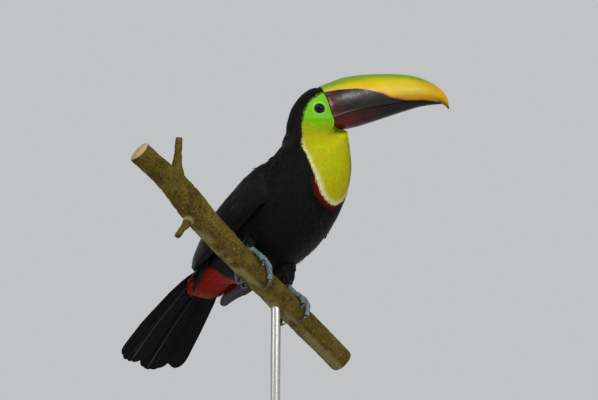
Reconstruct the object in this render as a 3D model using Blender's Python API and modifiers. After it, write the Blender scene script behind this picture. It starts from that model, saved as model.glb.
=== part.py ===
"""Yellow-throated toucan, life size, perched on a cut branch above a display stand.

Metres, +Z up. The origin is the centre of the stand base's underside, straight below the rod.
The bird's trunk faces -Y and its left side is +X; the head is turned to the bird's left.
Run with: blender --background --python part.py
"""

import math

import bmesh
import bpy
import numpy as np
from mathutils import Matrix, Vector

MM = 0.001
GAP = 0.3 * MM  # clearance between neighbouring pieces

# ---------------------------------------------------------------- stand and perch
PERCH_HEIGHT = 0.330  # branch centre line above the floor, at the rod
PERCH_SLOPE = math.radians(31.5)  # the branch falls towards the bird's left
PERCH_RADIUS = 15.3 * MM
# The branch's shape, from its high cut end to its low one: how far along it lies from the rod,
# how far its centre rises off the straight line, and its radius, in millimetres.
PERCH_ROWS = (
    (-232, 6.5, 13), (-205, 8, 13.2), (-178, 8.6, 15), (-150, 5.4, 16.5), (-122, 2.4, 16.2),
    (-80, 0.5, 15.3), (-40, 0, 15.3), (0, 0, 15.3), (40, 0, 15.2), (80, -0.3, 15), (122, -0.8, 14.8),
)
# Cut twigs: how far along the branch, lean of the twig from straight up in degrees in the
# branch's upright plane and towards the bird's front, length from the centre, and two radii.
TWIGS = (("up", -176, -3, 8, 54, 6.5, 3.9), ("down", -140, 218, 8, 46, 6, 3.4))
ROD_RADIUS = 5.5 * MM
ROD_TOP = PERCH_HEIGHT - 5 * MM
BASE_RADIUS = 0.115
BASE_HEIGHT = 18 * MM
BASE_EDGE = 5 * MM

PERCH_CENTRE = Vector((0, 0, PERCH_HEIGHT))
ALONG = Vector((math.cos(PERCH_SLOPE), 0, -math.sin(PERCH_SLOPE)))  # down the branch
ACROSS_TOP = Vector((math.sin(PERCH_SLOPE), 0, math.cos(PERCH_SLOPE)))  # out of its top
ACROSS_FRONT = Vector((0, -1, 0))  # out of the side the bird faces

# ---------------------------------------------------------------- bird
# The bird's own datum: in its mirror plane, level with the perch between the feet.
BIRD = Vector((12 * MM, 14 * MM, PERCH_HEIGHT + 4 * MM))
HEAD_CENTRE = BIRD + Vector((1.5, -65.5, 211)) * MM
HEAD_PITCH, HEAD_YAW, HEAD_ROLL = 96.0, 62.0, 14.0  # degrees, of the column from neck to crown
RING_POINTS = 22

# Body sections from the tips of the tail coverts to the top of the neck. Each row holds the centre's y and z from
# the datum, the column's pitch, yaw and roll in degrees, and the reach of the section to its
# front or belly side, its back side and its flanks, in millimetres.
TRUNK_ROWS = (
    (143, 24, 40, 0, 0, 3, 2, 15),
    (137, 29, 40, 0, 0, 6.5, 4.5, 25),
    (126, 36, 39, 0, 0, 10, 8, 29),
    (110, 45, 36, 0, 0, 15, 14, 32),
    (90, 52, 33, 0, 0, 26, 25, 37),
    (66, 62, 32, 0, 0, 38, 38, 46),
    (38, 73, 32, 0, 0, 49, 51, 52),
    (8, 87, 33, 0, 0, 55, 58, 56),
    (-24, 107, 38, 0, 0, 57.5, 57, 56),
    (-48, 128, 54, 0, 0, 55.5, 48, 51),
    (-62, 146, 70, 3, 1, 49.5, 42, 45),
)
NECK_ROWS = (
    (-66, 161, 82, 14, 4, 44, 39, 39.5),
    (-67, 176, 91, 34, 8, 40, 37, 34.5),
)
# Head sections from the throat to the crown: height above the head's centre, how far forward
# the section's centre lies, then the same three reaches.
HEAD_ROWS = (
    (-24, 2, 36, 37, 28),
    (-16, 1, 32, 35, 25.5),
    (-6, 1, 28, 32, 23.8),
    (3, 1, 24, 28.5, 22.8),
    (12, 2, 20, 23.5, 20.3),
    (20, 3, 15.5, 17, 15.8),
    (25.5, 4, 9.5, 10, 9.8),
    (28.3, 4.5, 3.5, 3.5, 4),
)
NECK_START, NECK_END = 9.6, 13.2  # where along the rows above the body is parted
VENT = (59, 20)  # y and z where the belly's feathers meet the red coverts
VENT_LEAN = math.radians(41)  # how far the parting leans back from there
RINGS_PER_ROW = 2.5

EYE_RADIUS = 7.4 * MM
EYE_FORWARD, EYE_SIDE, EYE_UP = 0.1 * MM, 18.0 * MM, 1.1 * MM

# Bill profile, from its base to its tip, in millimetres ahead of and above the head's centre.
BILL_STEPS = (0, 0.1, 0.2, 0.35, 0.5, 0.65, 0.78, 0.88, 0.95, 0.985, 1)
CULMEN = (
    (6, 27.4), (21, 36), (38, 41.5), (62, 45), (88, 46.2), (112, 45.6),
    (133, 42.2), (152, 34.8), (165.5, 24.8), (171.6, 14), (172.8, 3.6),
)
UPPER_EDGE = (
    (18.6, -10.3), (30, -5.4), (44, -1.5), (66, 2.7), (90, 7.1), (112, 11.2),
    (131, 12), (147, 11.6), (160, 12.2), (168, 8.8), (172, 3.4),
)
UPPER_HALF_WIDTH = (19.5, 20, 19.5, 18, 16.2, 14, 11.8, 9.3, 6.5, 3.6, 0.9)
LOWER_EDGE = (
    (18.6, -10.7), (30, -5.8), (44, -1.9), (66, 2.3), (90, 6.7), (112, 10.8),
    (131, 11.5), (146, 11), (155, 10.6), (160, 10.3), (163, 10),
)
GONYS = (
    (23.5, -22), (36, -21), (50, -18.6), (71, -12.7), (93, -5.9), (114, 0.4),
    (131, 5.2), (145, 7.8), (154, 8.8), (159.5, 9.2), (162.6, 9.4),
)
LOWER_HALF_WIDTH = (18.6, 18.8, 17.9, 15.8, 13.4, 10.9, 8.3, 5.6, 3.4, 2, 0.8)
BILL_RINGS = 22
BILL_ARC_POINTS = 11

# Folded wing, from the wrist to the tip of the secondaries: centre x, y and z from the datum
# for the right wing, half height, half thickness, and how far its top leans in, in degrees.
WING_ROWS = (
    (-34, -47, 131, 9, 5, 12),
    (-45, -38, 124, 23, 11, 14),
    (-48, -16, 112, 32, 13, 18),
    (-49, 16, 95, 35, 14.5, 22),
    (-48, 50, 79, 33, 13.5, 24),
    (-44, 82, 63, 27, 10, 26),
    (-38, 105, 51, 16, 6, 28),
)
# Flight feathers that reach past the secondaries, as one stack of blades.
PRIMARY_ROWS = (
    (-42, 68, 58, 15, 2.4, 26),
    (-41, 86, 50, 17, 2.2, 28),
    (-38, 102, 41, 13, 1.9, 30),
    (-35, 115, 31, 7, 1.5, 32),
    (-33, 125, 24, 2, 1, 34),
)
WING_START, WING_END = -50, 120  # from the first row's y to the last one's
# How far the tip of each wing hangs away from the rows above, across, back and up.
WING_HANG = {-1: Vector((0, 0, 0)), 1: Vector((2, 24, -7))}

# Tail fan. Each tip is one feather: its place from the bird's right edge (-1) to its left (1)
# and its length in millimetres.
TAIL_ROOT = BIRD + Vector((-11, 118, 46)) * MM
TAIL_PITCH = math.radians(40)
# How far from the fan's root, its half width there, and how far it is swung to the bird's
# left, all in millimetres.
TAIL_SPREAD = ((-12, 19, 0), (16, 30, -1), (90, 44, -4.7), (160, 52, -5))
TAIL_TIPS = (
    (-0.80, 146), (-0.66, 153), (-0.50, 156), (-0.36, 157), (0.0, 164),
    (0.12, 167), (0.26, 166), (0.38, 162), (0.72, 154), (0.82, 157),
)
TAIL_LENGTH = 160 * MM
TAIL_START = -12 * MM  # hidden under the coverts
TAIL_FEATHER_HALF = 0.25  # half a feather's width, in the same measure as its place
TAIL_ROUNDING = 16 * MM
TAIL_THICK = (3.2 * MM, 1.3 * MM)
TAIL_SHINGLE = 0.5 * MM
TAIL_BACK = Vector((0, math.cos(TAIL_PITCH), -math.sin(TAIL_PITCH)))
TAIL_UP = Vector((0, math.sin(TAIL_PITCH), math.cos(TAIL_PITCH)))

# Toes of each foot: number, which way it goes round the perch, first and last angle from the
# perch's top, places along the perch of its root and end and of its claw's tip, and its root
# and end radius. Angles are in degrees and lengths in millimetres.
FEET = {
    "right": (
        (2, 1, -14, 104, -50, -27, -23, 3.7, 2.9),
        (3, 1, -14, 66, -58, -46, -44, 3.5, 2.8),
        (1, -1, -14, 124, -49, -37, -35, 3.1, 2.4),
        (4, -1, -14, 136, -57, -46, -44, 3.4, 2.6),
    ),
    "left": (
        (2, 1, -14, 74, 21, 27, 25, 3.3, 2.7),
        (3, 1, -14, 102, 27, 38, 34, 3.6, 2.8),
        (1, -1, -14, 110, 22, 20, 18, 3.1, 2.4),
        (4, -1, -14, 128, 29, 31, 31, 3.4, 2.6),
    ),
}
CLAW_TURN = math.radians(36)  # how far round the perch a claw reaches past its toe
FOOT_PLACES = {"right": -53 * MM, "left": 24.5 * MM}
# Where the leg enters its feathers, and the feathers' hip, from the datum.
CUFFS = {"right": (-42, -2, 49), "left": (13, -4, 15)}
HIPS = {"right": (-34, 12, 82), "left": (14, 10, 62)}
THIGH_REACH = (8, 15, 21)  # radius at the cuff, half way and at the hip

COLOURS = {
    "plumage_black": ((0.012, 0.012, 0.014), 0.55, 0),
    "bib_yellow": ((0.75, 0.66, 0.02), 0.6, 0),
    "face_green": ((0.22, 0.62, 0.03), 0.5, 0),
    "bill_yellow": ((0.80, 0.60, 0.03), 0.3, 0),
    "bill_chestnut": ((0.05, 0.006, 0.008), 0.25, 0),
    "eye_brown": ((0.02, 0.012, 0.008), 0.05, 0),
    "coverts_red": ((0.45, 0.008, 0.005), 0.6, 0),
    "coverts_white": ((0.80, 0.78, 0.72), 0.6, 0),
    "leg_blue_grey": ((0.23, 0.32, 0.36), 0.5, 0),
    "claw_horn": ((0.02, 0.02, 0.022), 0.35, 0),
    "bark": ((0.16, 0.12, 0.04), 0.9, 0),
    "stand_wood": ((0.08, 0.035, 0.015), 0.4, 0),
    "stand_metal": ((0.55, 0.53, 0.50), 0.3, 1),
}


# ---------------------------------------------------------------- helpers
def clear_scene():
    for obj in list(bpy.data.objects):
        bpy.data.objects.remove(obj)


def collection(name):
    made = bpy.data.collections.new(name)
    bpy.context.scene.collection.children.link(made)
    return made


def material(name):
    found = bpy.data.materials.get(name)
    if found:
        return found
    colour, roughness, metallic = COLOURS[name]
    made = bpy.data.materials.new(name)
    made.use_nodes = True
    made.diffuse_color = (*colour, 1)
    shader = made.node_tree.nodes["Principled BSDF"]
    shader.inputs["Base Color"].default_value = (*colour, 1)
    shader.inputs["Roughness"].default_value = roughness
    shader.inputs["Metallic"].default_value = metallic
    return made


def add_object(name, mesh, finish, folder):
    obj = bpy.data.objects.new(name, mesh)
    folder.objects.link(obj)
    mesh.materials.append(material(finish))
    return obj


def along_rows(rows, steps):
    """Smooth values at fractional row numbers, by Catmull-Rom interpolation of each column."""
    table = np.array(rows, float)
    padded = np.vstack([2 * table[0] - table[1], table, 2 * table[-1] - table[-2]])
    found = []
    for step in steps:
        i = int(min(max(math.floor(step), 0), len(table) - 2))
        t = step - i
        before, start, end, after = padded[i : i + 4]
        slope_in = (end - before) / 2
        slope_out = (after - start) / 2
        found.append(
            (2 * t**3 - 3 * t**2 + 1) * start
            + (t**3 - 2 * t**2 + t) * slope_in
            + (3 * t**2 - 2 * t**3) * end
            + (t**3 - t**2) * slope_out
        )
    return np.array(found)


def loft(name, rings):
    """A closed mesh through rings of equal length, capped at both ends, faces outward."""
    mesh = bpy.data.meshes.new(name)
    shape = bmesh.new()
    rows = [[shape.verts.new(point) for point in ring] for ring in rings]
    count = len(rows[0])
    for low, high in zip(rows, rows[1:]):
        for i in range(count):
            j = (i + 1) % count
            shape.faces.new((low[i], low[j], high[j], high[i]))
    shape.faces.new(rows[0][::-1])
    shape.faces.new(rows[-1])
    bmesh.ops.recalc_face_normals(shape, faces=shape.faces)
    shape.to_mesh(mesh)
    shape.free()
    mesh.shade_smooth()
    mesh.set_sharp_from_angle(angle=math.radians(40))
    return mesh


def boolean(obj, other, operation="DIFFERENCE"):
    """Cuts other out of obj, or joins it on; other becomes a hidden guide."""
    other.hide_render = True
    other.display_type = "WIRE"
    made = obj.modifiers.new(operation.lower(), "BOOLEAN")
    made.operation = operation
    made.solver = "EXACT"
    made.object = other


# ---------------------------------------------------------------- head, neck and trunk
def turned(pitch, yaw, roll):
    """Front, left and up of a section whose column has this pitch, yaw and roll in degrees."""
    pitch, yaw, roll = map(math.radians, (pitch, yaw, roll))
    front = Vector((0, -math.sin(pitch), -math.cos(pitch)))
    up = Vector((0, -math.cos(pitch), math.sin(pitch)))
    left = Vector((1, 0, 0))
    swing = Matrix.Rotation(yaw, 3, "Z")
    front, up, left = (swing @ axis for axis in (front, up, left))
    tip = Matrix.Rotation(roll, 3, front)
    return front, tip @ left, tip @ up


HEAD_FRONT, HEAD_LEFT, HEAD_UP = turned(HEAD_PITCH, HEAD_YAW, HEAD_ROLL)


def in_head(forward, left, up):
    """A point given in metres along the head's own axes."""
    return HEAD_CENTRE + HEAD_FRONT * forward + HEAD_LEFT * left + HEAD_UP * up


def body_rows():
    """Every section of the body as one table: centre, angles and reaches."""
    rows = []
    for y, z, pitch, yaw, roll, front, back, side in TRUNK_ROWS + NECK_ROWS:
        centre = BIRD + Vector((0, y, z)) * MM
        rows.append((*centre, pitch, yaw, roll, front, back, side))
    for up, forward, front, back, side in HEAD_ROWS:
        centre = in_head(forward * MM, 0, up * MM)
        rows.append((*centre, HEAD_PITCH, HEAD_YAW, HEAD_ROLL, front, back, side))
    return rows


def body_ring(values, grow):
    centre = Vector(values[:3])
    front, left, _ = turned(values[3], values[4], values[5])
    reach_front, reach_back, reach_side = (value * MM + grow for value in values[6:9])
    ring = []
    for i in range(RING_POINTS):
        angle = math.tau * i / RING_POINTS
        ahead = math.cos(angle)
        reach = reach_front if ahead > 0 else reach_back
        ring.append(centre + front * ahead * reach + left * math.sin(angle) * reach_side)
    return ring


def body_piece(name, finish, folder, start, end, grow=0.0):
    count = max(2, round((end - start) * RINGS_PER_ROW) + 1)
    steps = np.linspace(start, end, count)
    rings = [body_ring(values, grow) for values in along_rows(body_rows(), steps)]
    return add_object(name, loft(name, rings), finish, folder)


def part_step(boundary):
    """How many rows along the body half the parting gap is at this boundary."""
    near, far = along_rows(body_rows(), (boundary - 0.05, boundary + 0.05))
    return GAP * 0.6 * 0.1 / (Vector(far[:3]) - Vector(near[:3])).length


def make_bill_space(folder):
    """A guide that clears the head ahead of the bill's base and above the chin."""
    back, chin = -GAP, -22 * MM - GAP
    outline = (
        (0.6 * MM + back, 43 * MM), (18.6 * MM + back, -10.5 * MM), (23.5 * MM + back, chin),
        (90 * MM, chin), (90 * MM, 60 * MM), (0.6 * MM, 60 * MM),
    )
    half = 40 * MM
    rings = [[in_head(f, side, u) for f, u in outline] for side in (-half, half)]
    return add_object("guide_bill_space", loft("guide_bill_space", rings), "bark", folder)


def eye_centre(side):
    return in_head(EYE_FORWARD, side * EYE_SIDE, EYE_UP)


def ball(name, centre, radius, finish, folder, segments=14):
    mesh = bpy.data.meshes.new(name)
    shape = bmesh.new()
    bmesh.ops.create_uvsphere(shape, u_segments=segments, v_segments=segments // 2, radius=radius)
    shape.to_mesh(mesh)
    shape.free()
    mesh.shade_smooth()
    obj = add_object(name, mesh, finish, folder)
    obj.location = centre
    return obj


def make_body(parts, guides):
    last = len(body_rows()) - 1
    low, high = part_step(NECK_START), part_step(NECK_END)
    trunk = body_piece("trunk", "plumage_black", parts, 0, NECK_START - low)
    boolean(trunk, behind_vent("guide_behind", guides))
    body_piece("neck", "bib_yellow", parts, NECK_START + low, NECK_END - high)
    head = body_piece("head", "face_green", parts, NECK_END + high, last)
    boolean(head, make_bill_space(guides))
    for name, side in (("right", -1), ("left", 1)):
        ball(f"eye_{name}", eye_centre(side), EYE_RADIUS, "eye_brown", parts)
        socket = ball(f"guide_socket_{name}", eye_centre(side), EYE_RADIUS + GAP, "bark", guides)
        boolean(head, socket)


# ---------------------------------------------------------------- bill
def bill_steps():
    """Step numbers along the bill's rows, closer together towards the tip."""
    spread = np.linspace(0, 1, BILL_RINGS)
    return np.interp(spread, BILL_STEPS, np.arange(len(BILL_STEPS)))


def bill_half(name, finish, folder, edge, ridge, widths, squareness):
    """One mandible: a flat face along its cutting edge and an arch out to its ridge."""
    table = [(*e, *r, w) for e, r, w in zip(edge, ridge, widths)]
    rings = []
    for edge_f, edge_u, ridge_f, ridge_u, width in along_rows(table, bill_steps()):
        ring = []
        for i in range(BILL_ARC_POINTS):
            angle = math.pi * i / (BILL_ARC_POINTS - 1)
            side = math.copysign(abs(math.cos(angle)) ** squareness, math.cos(angle))
            rise = abs(math.sin(angle)) ** squareness
            forward = edge_f + (ridge_f - edge_f) * rise
            up = edge_u + (ridge_u - edge_u) * rise
            ring.append(in_head(forward * MM, side * width * MM, up * MM))
        rings.append(ring)
    return add_object(name, loft(name, rings), finish, folder)


def make_bill(parts):
    bill_half("bill_upper", "bill_yellow", parts, UPPER_EDGE, CULMEN, UPPER_HALF_WIDTH, 0.82)
    bill_half("bill_lower", "bill_chestnut", parts, LOWER_EDGE, GONYS, LOWER_HALF_WIDTH, 0.74)


# ---------------------------------------------------------------- wings
def blade(name, rows, side, finish, folder, points=14, rings_per_row=2):
    """A flattened loft through rows of centre, half height, half thickness and lean."""
    steps = np.linspace(0, len(rows) - 1, (len(rows) - 1) * rings_per_row + 1)
    values = along_rows(rows, steps)
    centres = []
    for v in values:
        share = max(0, (v[1] - WING_START) / (WING_END - WING_START))
        centres.append((Vector((-side * v[0], v[1], v[2])) + WING_HANG[side] * share**2) * MM)
    rings = []
    for i, (centre, v) in enumerate(zip(centres, values)):
        near = centres[max(i - 1, 0)]
        far = centres[min(i + 1, len(centres) - 1)]
        run = (far - near).normalized()
        lean = Matrix.Rotation(-side * math.radians(v[5]), 3, Vector((0, 1, 0)))
        tall = lean @ Vector((0, 0, 1))
        tall = (tall - run * tall.dot(run)).normalized()
        out = run.cross(tall)
        ring = []
        for j in range(points):
            angle = math.tau * j / points
            high = tall * math.sin(angle) * v[3] * MM
            wide = out * math.cos(angle) * v[4] * MM
            ring.append(BIRD + centre + high + wide)
        rings.append(ring)
    return add_object(name, loft(name, rings), finish, folder)


def make_wings(parts, guides):
    for name, side in (("right", -1), ("left", 1)):
        wing = blade(f"wing_{name}", WING_ROWS, side, "plumage_black", parts)
        trunk = body_piece(f"guide_trunk_{name}", "bark", guides, 0, NECK_START + 2.5, GAP)
        boolean(wing, trunk)
        tips = blade(f"primaries_{name}", PRIMARY_ROWS, side, "plumage_black", parts, 10)
        grown = [(x, y, z, h + 0.3, t + 0.3, lean) for x, y, z, h, t, lean in WING_ROWS]
        cover = blade(f"guide_wing_{name}", grown, side, "bark", guides)
        boolean(tips, cover)
        boolean(tips, trunk)


# ---------------------------------------------------------------- tail
def tail_point(along, across, up):
    return TAIL_ROOT + TAIL_BACK * along + Vector((across, 0, 0)) + TAIL_UP * up


def tail_reach(place):
    """How far the fan reaches at a place across it: the longest feather there."""
    found = 0.0
    for middle, length in TAIL_TIPS:
        off = abs(place - middle) / TAIL_FEATHER_HALF
        found = max(found, length * MM - TAIL_ROUNDING * min(off, 1.4) ** 2.6)
    return found


def tail_fan(name, finish, folder):
    """One thin fan whose end is scalloped into feather tips and whose faces step at each."""
    columns, rows = 38, 4
    rings = []
    for i in range(columns + 1):
        place = 2 * i / columns - 1  # -1 at the bird's right edge, 1 at its left
        reach = tail_reach(place)
        step = TAIL_SHINGLE * (abs(place) * 5 % 1 - 0.5)
        top, bottom = [], []
        for j in range(rows + 1):
            along = TAIL_START + (reach - TAIL_START) * j / rows
            share = along / TAIL_LENGTH
            reaches, halves, swings = zip(*TAIL_SPREAD)
            spread = np.interp(along / MM, reaches, halves) * MM
            swing = np.interp(along / MM, reaches, swings) * MM
            half = np.interp(share, (0, 1), TAIL_THICK) / 2 * (1 - 0.35 * place**2)
            crown = 2.5 * MM * (1 - place**2) * share
            across = place * spread + swing
            middle = crown + step * min(1, share * 3)
            top.append(tail_point(along, across, middle + half))
            bottom.append(tail_point(along, across, middle - half))
        rings.append(top + bottom[::-1])
    return add_object(name, loft(name, rings), finish, folder)


def slab(name, outline, folder):
    """A guide block with an outline of y and z in metres, wider than the bird."""
    rings = [[Vector((side, y, z)) for y, z in outline] for side in (-0.2, 0.2)]
    return add_object(name, loft(name, rings), "bark", folder)


def crossing(start, run, other_start, other_run):
    """Where two lines in the y-z plane meet."""
    offset = other_start - start
    t = (offset.x * other_run.y - offset.y * other_run.x) / (run.x * other_run.y - run.y * other_run.x)
    return start + run * t


def covert_block(name, above, folder):
    """What lies behind the vent parting and above or below the tail's plane."""
    run = Vector((math.sin(VENT_LEAN), math.cos(VENT_LEAN)))
    out = Vector((run.y, -run.x))
    vent = BIRD.yz + Vector(VENT) * MM + out * GAP / 2
    level = TAIL_ROOT.yz + TAIL_UP.yz * (2.8 if above else -2.3) * MM
    corner = crossing(vent, run, level, TAIL_BACK.yz)
    side = run * (0.2 if above else -0.2)
    back = TAIL_BACK.yz * 0.3
    return slab(name, (corner, corner + side, corner + side + back, corner + back), folder)


def behind_vent(name, folder, start=-GAP / 2):
    run = Vector((math.sin(VENT_LEAN), math.cos(VENT_LEAN)))
    out = Vector((run.y, -run.x))
    foot = BIRD.yz + Vector(VENT) * MM + out * start
    low, high = foot - run * 0.2, foot + run * 0.3
    return slab(name, (low, high, high + out * 0.3, low + out * 0.3), folder)


def make_tail(parts, guides):
    tail_fan("tail", "plumage_black", parts)
    for name, finish, above in (("upper", "coverts_white", True), ("under", "coverts_red", False)):
        piece = body_piece(f"coverts_{name}", finish, parts, 0, 6)
        boolean(piece, covert_block(f"guide_half_{name}", above, guides), "INTERSECT")


# ---------------------------------------------------------------- legs and feet
def on_perch(along, angle, distance):
    """A point beside the branch: along it from the rod, round it from its top, and out."""
    out = ACROSS_TOP * math.cos(angle) + ACROSS_FRONT * math.sin(angle)
    return PERCH_CENTRE + ALONG * along + out * distance


def tube_rings(centres, radii, points=12):
    """Round rings square to a path."""
    rings = []
    side = Vector((1, 0, 0))
    for i, (centre, radius) in enumerate(zip(centres, radii)):
        near = centres[max(i - 1, 0)]
        far = centres[min(i + 1, len(centres) - 1)]
        run = (far - near).normalized()
        side = (side - run * side.dot(run)).normalized()
        other = run.cross(side)
        rings.append(
            [
                centre + (side * math.cos(a) + other * math.sin(a)) * radius
                for a in (math.tau * k / points for k in range(points))
            ]
        )
    return rings


def toe_paths(toe):
    """Centre lines and radii of a toe and of the claw that carries on from it."""
    _, way, first, last, root_place, end_place, tip_place, root, end = toe
    centres, radii, claw_centres, claw_radii = [], [], [], []
    for share in np.linspace(0, 1, 7):
        angle = math.radians(first + (last - first) * share) * way
        radius = (root + (end - root) * share) * MM
        place = (root_place + (end_place - root_place) * share) * MM
        _, perch = perch_shape(place)
        knuckle = 0.3 * MM * math.cos(share * math.tau * 3)
        centres.append(on_perch(place, angle, perch + radius + 2.2 * GAP))
        radii.append(radius + knuckle)
    for share in np.linspace(0, 1, 6):
        radius = end * MM * 0.85 * (1 - share) ** 0.7 + 0.35 * MM
        angle = (math.radians(last + 4) + CLAW_TURN * share) * way
        place = (end_place + (tip_place - end_place) * share) * MM
        _, perch = perch_shape(place)
        hump = 3.2 * MM * math.sin(math.pi * share**0.8)
        lift = perch + 2 * GAP + (end * MM) * (1 - share) + radius * share + hump
        claw_centres.append(on_perch(place, angle, lift))
        claw_radii.append(radius)
    return centres, radii, claw_centres, claw_radii


def make_legs(parts, guides):
    for name, toes in FEET.items():
        pieces = []
        for toe in toes:
            centres, radii, claw_centres, claw_radii = toe_paths(toe)
            mesh = loft(f"toe_{name}_{toe[0]}", tube_rings(centres, radii, 8))
            pieces.append(add_object(mesh.name, mesh, "leg_blue_grey", guides))
            claw = loft(f"claw_{name}_{toe[0]}", tube_rings(claw_centres, claw_radii, 6))
            claw_object = add_object(claw.name, claw, "claw_horn", parts)
            grown = [r + GAP for r in radii]
            mesh = loft(f"guide_toe_{name}_{toe[0]}", tube_rings(centres, grown, 8))
            boolean(claw_object, add_object(mesh.name, mesh, "bark", guides))
        foot = on_perch(FOOT_PLACES[name], 0, PERCH_RADIUS + 4.2 * MM)
        cuff = BIRD + Vector(CUFFS[name]) * MM
        hip = BIRD + Vector(HIPS[name]) * MM
        centres = [foot, foot.lerp(cuff, 0.3), foot.lerp(cuff, 0.7), cuff.lerp(hip, 0.12)]
        radii = [r * MM for r in (4.0, 3.6, 3.2, 3.4)]
        mesh = loft(f"leg_{name}", tube_rings(centres, radii, 10))
        leg = add_object(f"leg_{name}", mesh, "leg_blue_grey", parts)
        for piece in pieces:
            boolean(leg, piece, "UNION")
        thigh = thigh_solid(f"thigh_{name}", cuff, hip, "plumage_black", parts)
        trunk = bpy.data.objects[f"guide_trunk_{name}"]
        boolean(thigh, trunk)
        boolean(thigh, bpy.data.objects[f"guide_wing_{name}"])
        boolean(leg, thigh_solid(f"guide_thigh_{name}", cuff, hip, "bark", guides, GAP))
        boolean(leg, trunk)


def thigh_solid(name, cuff, hip, finish, folder, grow=0.0):
    """The feathered thigh: a drop shape from inside the trunk down to the cuff."""
    run = (hip - cuff).normalized()
    shares = (0, 0.05, 0.2, 0.45, 0.75, 1)
    sizes = np.interp(shares, (0, 0.45, 1), THIGH_REACH) * (0.55, 0.85, 1, 1, 1, 1)
    centres = [cuff.lerp(hip, share) for share in shares]
    centres[0] = centres[0] - run * grow
    radii = [size * MM + grow for size in sizes]
    return add_object(name, loft(name, tube_rings(centres, radii, 14)), finish, folder)


# ---------------------------------------------------------------- perch and stand
def perch_shape(place):
    """The branch's centre and radius at a place along it, both in metres."""
    places = [row[0] for row in PERCH_ROWS]
    step = np.interp(place / MM, places, np.arange(len(places)))
    _, rise, radius = along_rows(PERCH_ROWS, [float(step)])[0]
    return PERCH_CENTRE + ALONG * place + ACROSS_TOP * rise * MM, radius * MM


def make_perch(parts, guides):
    rings = 18
    places = np.linspace(PERCH_ROWS[0][0], PERCH_ROWS[-1][0], rings) * MM
    shape = [perch_shape(float(place)) for place in places]
    mesh = loft("perch", tube_rings([c for c, _ in shape], [r for _, r in shape], 16))
    perch = add_object("perch", mesh, "bark", parts)
    for name, place, lean, forward, length, root, end in TWIGS:
        centre, _ = perch_shape(place * MM)
        lean, forward = math.radians(lean), math.radians(forward)
        run = Vector((math.sin(lean), 0, math.cos(lean))) * math.cos(forward)
        run += Vector((0, -math.sin(forward), 0))
        centres = [centre + run * length * MM * share for share in (0, 0.3, 0.45, 0.7, 1)]
        radii = [r * MM for r in (root * 1.5, root * 1.25, root * 0.9, end * 1.1, end)]
        mesh = loft(f"twig_{name}", tube_rings(centres, radii, 10))
        boolean(perch, add_object(mesh.name, mesh, "bark", guides), "UNION")
    socket = cylinder("guide_rod", ROD_RADIUS + GAP, 0.2, ROD_TOP + GAP, guides, "bark")
    boolean(perch, socket)


def cylinder(name, radius, bottom, top, folder, finish, segments=24):
    mesh = bpy.data.meshes.new(name)
    shape = bmesh.new()
    bmesh.ops.create_cone(
        shape, cap_ends=True, segments=segments, radius1=radius, radius2=radius, depth=top - bottom
    )
    bmesh.ops.translate(shape, verts=shape.verts, vec=(0, 0, (top + bottom) / 2))
    shape.to_mesh(mesh)
    shape.free()
    mesh.shade_smooth()
    mesh.set_sharp_from_angle(angle=math.radians(40))
    return add_object(name, mesh, finish, folder)


def make_stand(parts):
    cylinder("stand_rod", ROD_RADIUS, BASE_HEIGHT + GAP, ROD_TOP, parts, "stand_metal")
    base = cylinder("stand_base", BASE_RADIUS, 0, BASE_HEIGHT, parts, "stand_wood", 36)
    bevel = base.modifiers.new("bevel", "BEVEL")
    bevel.width = BASE_EDGE
    bevel.segments = 2
    bevel.limit_method = "ANGLE"
    bevel.angle_limit = math.radians(60)


def main():
    clear_scene()
    parts = collection("toucan")
    guides = collection("guides")
    make_body(parts, guides)
    make_bill(parts)
    make_wings(parts, guides)
    make_tail(parts, guides)
    make_legs(parts, guides)
    make_perch(parts, guides)
    make_stand(parts)


main()
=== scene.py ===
"""Looks for the yellow-throated toucan: skin, plumage, bill, eyes, feet, branch and stand.

Metres, +Z up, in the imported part's own frame. The bird's trunk faces -Y, its left side is +X.
"""

import math

import bpy
import numpy as np
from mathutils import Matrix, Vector
from mathutils.bvhtree import BVHTree


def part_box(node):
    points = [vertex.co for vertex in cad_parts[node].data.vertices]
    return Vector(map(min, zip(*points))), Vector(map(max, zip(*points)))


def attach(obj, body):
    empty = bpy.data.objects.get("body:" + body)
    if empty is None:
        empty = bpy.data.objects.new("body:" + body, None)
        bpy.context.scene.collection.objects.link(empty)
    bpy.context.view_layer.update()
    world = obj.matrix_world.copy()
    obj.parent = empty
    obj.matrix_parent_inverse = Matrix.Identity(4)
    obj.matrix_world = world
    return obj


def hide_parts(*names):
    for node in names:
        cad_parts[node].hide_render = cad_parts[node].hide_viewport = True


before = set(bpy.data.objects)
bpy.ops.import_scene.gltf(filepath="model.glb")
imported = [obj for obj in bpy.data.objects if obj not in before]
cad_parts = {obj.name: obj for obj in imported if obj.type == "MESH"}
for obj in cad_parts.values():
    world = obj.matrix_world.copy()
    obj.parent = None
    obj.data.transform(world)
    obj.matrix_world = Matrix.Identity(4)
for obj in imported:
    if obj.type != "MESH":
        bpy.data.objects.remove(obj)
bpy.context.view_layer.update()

MM = 0.001
X = np.array((1.0, 0, 0))

# ---------------------------------------------------------------- places shared with the solids
PERCH_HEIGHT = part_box("stand_rod")[1].z + 5 * MM
PERCH_CENTRE = np.array((0, 0, PERCH_HEIGHT))
PERCH_SLOPE = math.radians(31.5)
ALONG = np.array((math.cos(PERCH_SLOPE), 0, -math.sin(PERCH_SLOPE)))
ACROSS_TOP = np.array((math.sin(PERCH_SLOPE), 0, math.cos(PERCH_SLOPE)))
BIRD = PERCH_CENTRE + np.array((12, 14, 4)) * MM
HEAD_CENTRE = BIRD + np.array((1.5, -65.5, 211)) * MM
HEAD_TURN = (96.0, 62.0, 14.0)  # pitch, yaw and roll of the column from neck to crown, in degrees

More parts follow.
